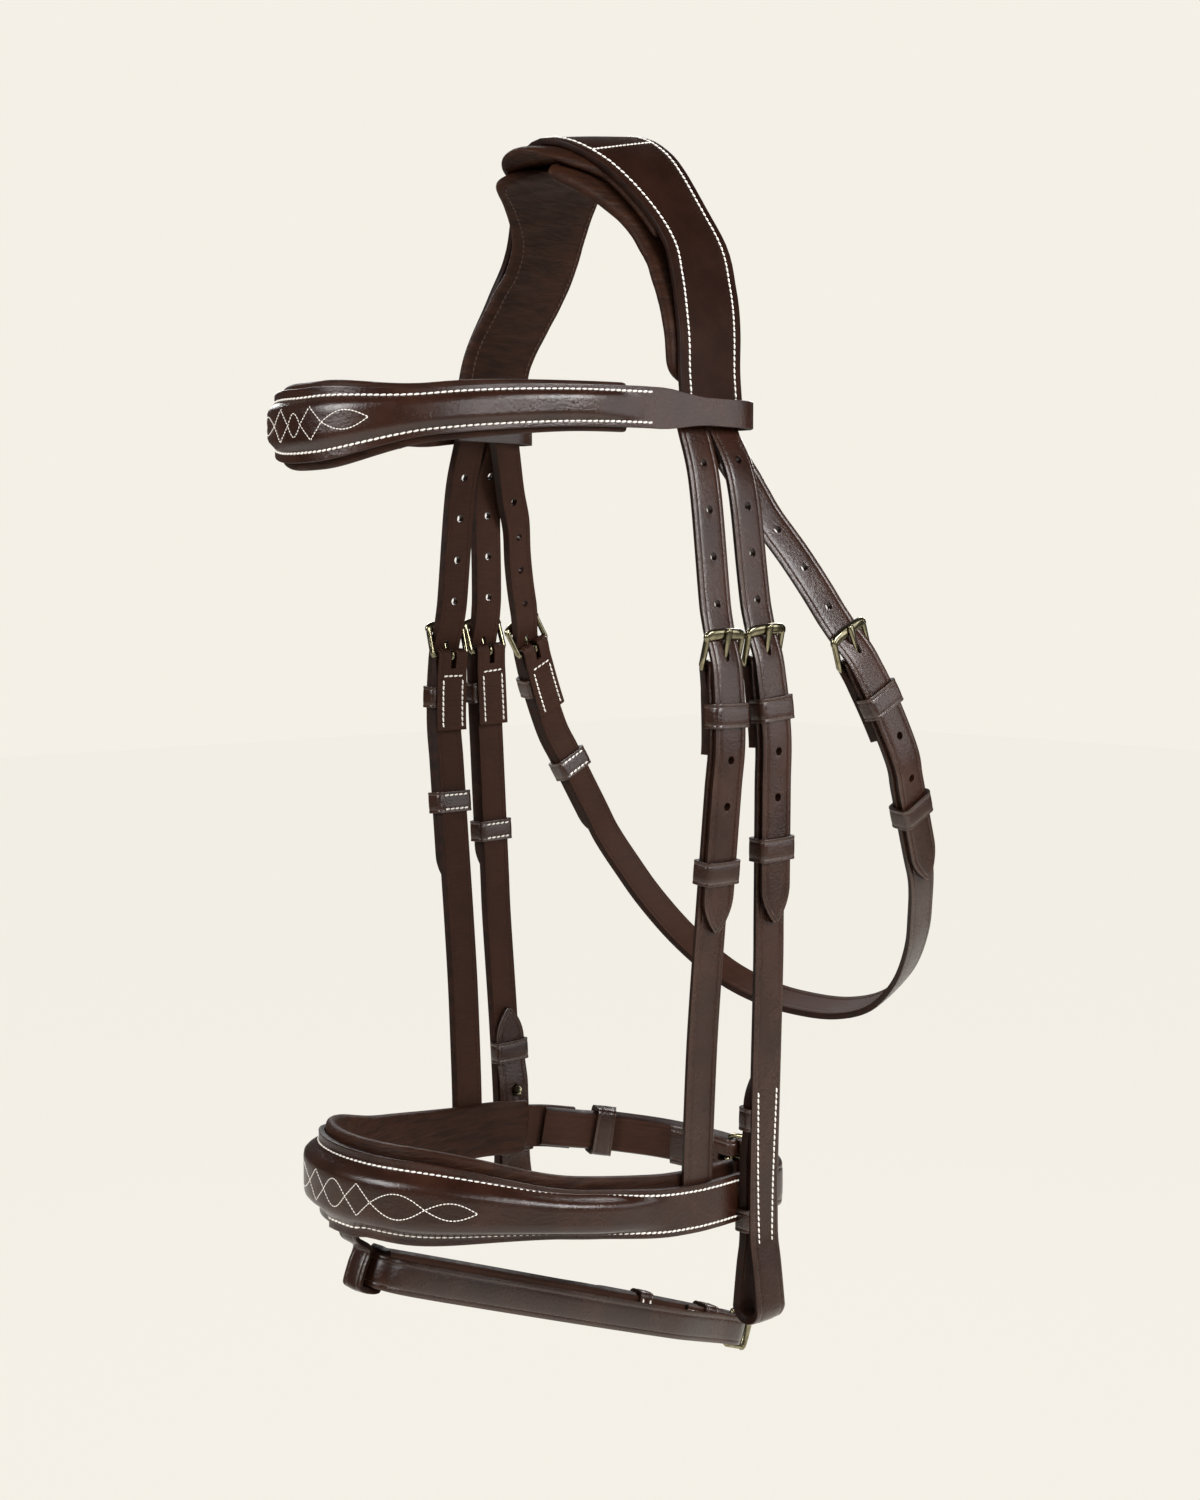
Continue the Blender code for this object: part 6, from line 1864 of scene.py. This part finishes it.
def make_rear_straps():
    size = REAR_BUCKLE
    s_bar = REAR.length / 2 - REAR_BUCKLE_OFFSET
    run = point_path(0.0, s_bar, size, REAR_TAIL_LENGTH)
    skived = [point_skive(REAR, s_bar, size, 1)]
    point = strap("rear_point_strap", REAR, run, 1, tip=True, width=REAR_STRAP_WIDTH, skived=skived)
    punch_point("rear", point, REAR, s_bar, size, 1, HOLES_BELOW, HOLES_BELOW)
    finish_strap(point)
    hand_over(point, "headpiece", "noseband_point_rear")
    start = s_bar + TURN_BACK_LENGTH * TURN_BACK_SHARE
    settle = s_bar + REAR_KEEPER_REACH + KEEPER_WIDTH / 2
    path = fold_path(s_bar, size, TURN_BACK_LENGTH, run_of(start, settle))
    path += [(s, 0.0) for s in run_of(settle + REAR_SETTLE_LENGTH, REAR.length)]
    chape = strap("rear_chape_strap", REAR, path, 1, width=REAR_STRAP_WIDTH, skived=[fold_skive(REAR, s_bar, 1)])
    cut_fold_slot("rear", chape, REAR, s_bar, size, 1)
    finish_strap(chape)
    hand_over(chape, "headpiece", "noseband_chape_rear")
    buckle_frame("rear", REAR, s_bar, size, 1)
    buckle_prong("rear", REAR, s_bar, size, 1)
    outer = size.tail + size.thickness / 2
    stack = (size.ply - size.thickness / 2, outer)
    s_keeper = s_bar + REAR_KEEPER_REACH
    keeper("rear_loop", REAR, s_keeper, stack, 1, "headpiece", ["keeper_rear"], REAR_STRAP_WIDTH, KEEPER_WIDTH, REAR_KEEPER_SLACK)
    sew("rear_stitches", fold_seams(REAR, s_bar, size, 1, TURN_BACK_LENGTH), DARK_THREAD, "headpiece")


make_noseband()
make_rear_straps()


# Browband
BROW_SHARES = (
    (0.0, -1.0, 1.0),
    (0.369, -0.945, 0.80),
    (0.702, -0.745, 0.35),
    (0.899, -0.497, 0.08),
    (0.978, -0.255, 0.0),
    (0.985, -0.103, 0.0),
    (0.989, 0.048, 0.0),
    (0.987, 0.138, 0.0),
    (0.973, 0.185, 0.0),
    (0.938, 0.212, 0.0),
    (0.885, 0.224, 0.0),
    (0.832, 0.212, 0.0),
    (0.797, 0.180, 0.0),
    (0.785, 0.138, 0.0),
    (0.784, 0.030, 0.0),
    (0.786, -0.110, 0.0),
)
BROW_TAPER_SHARES = (0.03, 0.22, 0.46)
BROW_LOOP_SHARES = (0.58, 0.68)
BROW_BULGE_SHARES = (0.44, 0.54)
BROW_PADDING_REACH_SHARE = 0.53
BROW_CORE_HEIGHT_SHARE = 0.38
BROW_FLAT_SHARE = 0.72
BROW_PADDING_FACE = BROW_LEATHER_THICKNESS / 2 + 0.4 * STRAP_THICKNESS


def brow_points():
    points = []
    for x, y, dip in BROW_SHARES:
        points.append(Vector((BROW_HALF_WIDTH * x, BROW_FRONT * y, -BROW_DROP - BROW_FRONT_DIP * dip)))
    return [mirrored(p, -1) for p in reversed(points[1:])] + points


BROW = Spine(brow_points(), (0, 0, 1), steps=6)


def brow_height(share, front, middle, side, end):
    first, second, third = BROW_TAPER_SHARES
    start, stop = BROW_LOOP_SHARES
    height = blend(front, middle, ease((share - first) / (second - first)))
    height = blend(height, side, ease((share - second) / (third - second)))
    return blend(height, end, ease((share - start) / (stop - start)))


def brow_leather_height(share):
    return brow_height(share, BROW_FRONT_HEIGHT, BROW_MIDDLE_HEIGHT, BROW_SIDE_HEIGHT, BROW_LOOP_HEIGHT)


def brow_lift(share, column):
    start, stop = BROW_BULGE_SHARES
    raised = 1.0 - ease((share - start) / (stop - start))
    low = -(BROW_PADDING_FACE - CLEARANCE - BROW_LEATHER_THICKNESS / 2)
    flat = ease((abs(column) - BROW_CORE_HEIGHT_SHARE) / (BROW_FLAT_SHARE - BROW_CORE_HEIGHT_SHARE))
    return blend(BROW_BULGE, low, flat) * raised


def brow_padding_half(share):
    front, side = BROW_PADDING_FRONT_HEIGHT, BROW_PADDING_SIDE_HEIGHT
    return brow_height(share, front, blend(front, side, 0.8), side, side) / 2


def make_browband():
    leather = band_sheet("browband_strap", BROW, brow_leather_height, brow_lift, BROW_LEATHER_THICKNESS)
    hand_over(leather, "headpiece", "browband_leather")
    pad = band_pad(
        "browband_pad",
        BROW,
        brow_padding_half,
        -(BROW_PADDING_FACE + BROW_PADDING_THICKNESS / 2),
        0.0,
        BROW_PADDING_THICKNESS,
        BROW_PADDING_REACH_SHARE,
    )
    hand_over(pad, "headpiece", "browband_padding", slot="lining_leather")
    lines = []
    for edge in (-1, 1):
        lines.append(band_seam(BROW, brow_leather_height, brow_lift, BROW_LEATHER_THICKNESS, 0.74 * edge, -0.56, 0.56, 120))
    sew("browband_stitches", lines, CREAM_THREAD, "headpiece")


make_browband()


# Fancy stitching
BROW_FIGURES = ((0.0040, 0.0046), (0.0155, 0.0065), (0.0350, 0.0037))
NOSE_FIGURES = ((0.0070, 0.0058), (0.0200, 0.0067), (0.0425, 0.0052), (0.0630, 0.0035))


def figure_height(figures, distance):
    """Half the height of the pattern at this distance from the front: a half leaf, a diamond, then leaves."""
    start = -figures[0][0]
    for number, (stop, tall) in enumerate(figures):
        if distance <= stop:
            share = (distance - start) / (stop - start)
            if number == 1:
                return tall * (1.0 - abs(2.0 * share - 1.0))
            return tall * math.sin(share * math.pi)
        start = stop
    return 0.0


def fancy_lines(spine, height, lift, thickness, figures):
    half = spine.length / 2
    reach = figures[-1][0] / half
    lines = []
    for sign in (-1, 1):

        def across(share, sign=sign):
            return sign * figure_height(figures, share * half) / (height(share) / 2)

        lines.append(band_seam(spine, height, lift, thickness, across, -reach, reach, 220))
    return lines


def make_fancy_stitching():
    brow = fancy_lines(BROW, brow_leather_height, brow_lift, BROW_LEATHER_THICKNESS, BROW_FIGURES)
    nose = fancy_lines(BAND, band_height, band_lift, NOSE_LEATHER_THICKNESS, NOSE_FIGURES)
    sizes = {"pitch": FINE_STITCH_PITCH, "length": FINE_STITCH_LENGTH, "radius": FINE_STITCH_RADIUS, "slant": 0.0}
    sew("brow_fancy_stitches", brow, CREAM_THREAD, "headpiece", **sizes)
    sew("nose_fancy_stitches", nose, CREAM_THREAD, "headpiece", **sizes)


make_fancy_stitching()


# Flash
FLASH_SHARES = (
    (0.375, 0.004),
    (0.690, 0.018),
    (0.850, 0.045),
    (0.950, 0.110),
    (1.0, 0.300),
    (0.980, 0.500),
    (0.850, 0.700),
    (0.600, 0.850),
    (0.360, 0.950),
    (0.300, 1.060),
)
FLASH_BAR_SHARE = 0.955
FLASH_LEAVE_SHARE = 0.74
FLASH_ENTRY_SHARES = (
    (2.06, -1.35),
    (1.11, -0.99),
    (0.48, -0.78),
    (0.0, -0.62),
    (-0.365, -0.365),
    (-0.530, 0.040),
    (-0.357, 0.413),
    (0.0, 0.571),
    (0.476, 0.460),
)
PITCH = math.radians(FLASH_PITCH_DEGREES)
FLASH_BACK = Vector((0, math.cos(PITCH), -math.sin(PITCH)))
FLASH_UP = Vector((0, math.sin(PITCH), math.cos(PITCH)))
FLASH_ORIGIN = Vector((0, -FLASH_FRONT, -FLASH_DROP))


def flash_points():
    """In the flash's own plane, from the right rear forwards round the front to the left rear."""
    points = [FLASH_ORIGIN.copy()]
    for x, q in FLASH_SHARES:
        points.append(FLASH_ORIGIN + FLASH_BACK * (FLASH_LENGTH * q) + Vector((FLASH_HALF_SPREAD * x, 0, 0)))
    return [mirrored(p, -1) for p in reversed(points[1:])] + points


FLASH = Spine(flash_points(), FLASH_UP, steps=6)


def ribbon(name, points, across, width, thickness, tip=False, skived=()):
    centres = catmull([Vector(p) for p in points], STATION_STEPS)
    acrosses = [Vector(across).normalized()] * len(centres)
    return strap_through(name, centres, acrosses, width, thickness, tip, 1, skived)


def make_flash_strap():
    size = FLASH_BUCKLE
    s_bar = FLASH_LENGTH * (FLASH_SHARES[-1][1] - FLASH_BAR_SHARE)
    start = s_bar + FLASH_TURN_BACK_LENGTH * TURN_BACK_SHARE
    tail_end = s_bar + FLASH_TAIL_LENGTH
    run = fold_path(s_bar, size, FLASH_TURN_BACK_LENGTH, run_of(start, tail_end))
    leave = FLASH.length - FLASH_LENGTH * (FLASH_SHARES[-1][1] - FLASH_LEAVE_SHARE)
    middle = FLASH.length / 2
    run += [(s, 0.0) for s in run_of(tail_end + RUN_SPACING, middle - RUN_SPACING)]
    run += [(middle - RUN_SPACING / 2, 0.0), (middle, 0.0), (middle + RUN_SPACING / 2, 0.0)]
    run += [(s, 0.0) for s in run_of(middle + RUN_SPACING, leave)]
    run += [(s_bar + size.reach * s, size.reach * n) for s, n in FLASH_ENTRY_SHARES]
    run += [(s, size.tail) for s in run_of(s_bar + size.reach, tail_end)]
    points = [FLASH.place(s, n) for s, n in run]
    skived = [fold_skive(FLASH, s_bar, 1)]
    flash = ribbon("flash_long_strap", points, FLASH_UP, FLASH_STRAP_WIDTH, FLASH_STRAP_THICKNESS, True, skived)
    cut_fold_slot("flash", flash, FLASH, s_bar, size, 1)
    spots = []
    for i in range(HOLES_BELOW):
        spots.append((s_bar + FLASH_KEEPER_DROPS[0] + HOLE_PITCH * (i + HOLE_START_SHARE), size.tail))
    punch(flash, cutter_pins("holes_flash", FLASH, spots, HOLE_RADIUS, 1, size.thickness * HOLE_DEPTH_SHARE))
    prong_hole("flash", flash, FLASH, s_bar, size, 1, -FLASH_ENTRY_SHARES[5][0])
    finish_strap(flash)
    hand_over(flash, "flash", "flash_strap")
    buckle_frame("flash", FLASH, s_bar, size, 1, body="flash")
    buckle_prong("flash", FLASH, s_bar, size, 1)
    outer = size.tail + size.thickness / 2
    lows = (-size.ply - size.thickness / 2, size.ply - size.thickness / 2)
    for number, (drop, low) in enumerate(zip(FLASH_KEEPER_DROPS, lows), 1):
        node_name = f"keeper_flash_{number}"
        keeper(f"flash_loop_{number}", FLASH, s_bar + drop, (low, outer), 1, "flash", [node_name], FLASH_STRAP_WIDTH, FLASH_KEEPER_WIDTH)
    rows = fold_seams(FLASH, s_bar, size, 1, FLASH_TURN_BACK_LENGTH)
    rows += keeper_seams(FLASH, s_bar + FLASH_KEEPER_DROPS[1], lows[1], 1, FLASH_STRAP_WIDTH, FLASH_KEEPER_WIDTH)
    sew("flash_stitches", rows, CREAM_THREAD, "flash")


LOOP_ROUND_SHARES = (
    (1.0, 0.85),
    (1.0, 0.0),
    (1.0, -0.80),
    (0.80, -0.97),
    (0.0, -1.02),
    (-0.80, -0.97),
    (-1.0, -0.80),
    (-1.0, 0.0),
    (-1.0, 0.80),
    (-0.82, 0.98),
)


def make_flash_loop():
    """A tab sewn in behind the noseband's lower edge, then once round the strap."""
    half_f = FLASH_STRAP_THICKNESS / 2 + FLASH_LOOP_PLAY * 1.4 + FLASH_LOOP_THICKNESS / 2
    half_h = FLASH_STRAP_WIDTH / 2 + FLASH_LOOP_THICKNESS / 2 + 4 * CLEARANCE
    tab_y = -NOSE_FRONT + PADDING_FACE - CLEARANCE - FLASH_LOOP_THICKNESS / 2
    edge_z = -NOSEBAND_DROP + NOSE_FRONT_LIFT - NOSE_FRONT_HEIGHT / 2
    points = [Vector((0, tab_y, edge_z + FLASH_LOOP_TAB_RISE * rise)) for rise in (1.0, 0.4, -0.5)]
    for f, h in LOOP_ROUND_SHARES:
        points.append(FLASH_ORIGIN - FLASH_BACK * (half_f * f) + FLASH_UP * (half_h * h))
    loop = ribbon("flash_hanger", points, (1, 0, 0), FLASH_LOOP_WIDTH, FLASH_LOOP_THICKNESS)
    finish_strap(loop, 2)
    hand_over(loop, "headpiece", "flash_loop")


make_flash_strap()
make_flash_loop()


# Nodes that stay as they are
def finish_nodes():
    for name in ("browband_core", "noseband_core"):
        paint(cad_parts[name], FELT)
    for _, word in SIDES:
        paint(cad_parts["hook_stud_" + word], METAL)


finish_nodes()
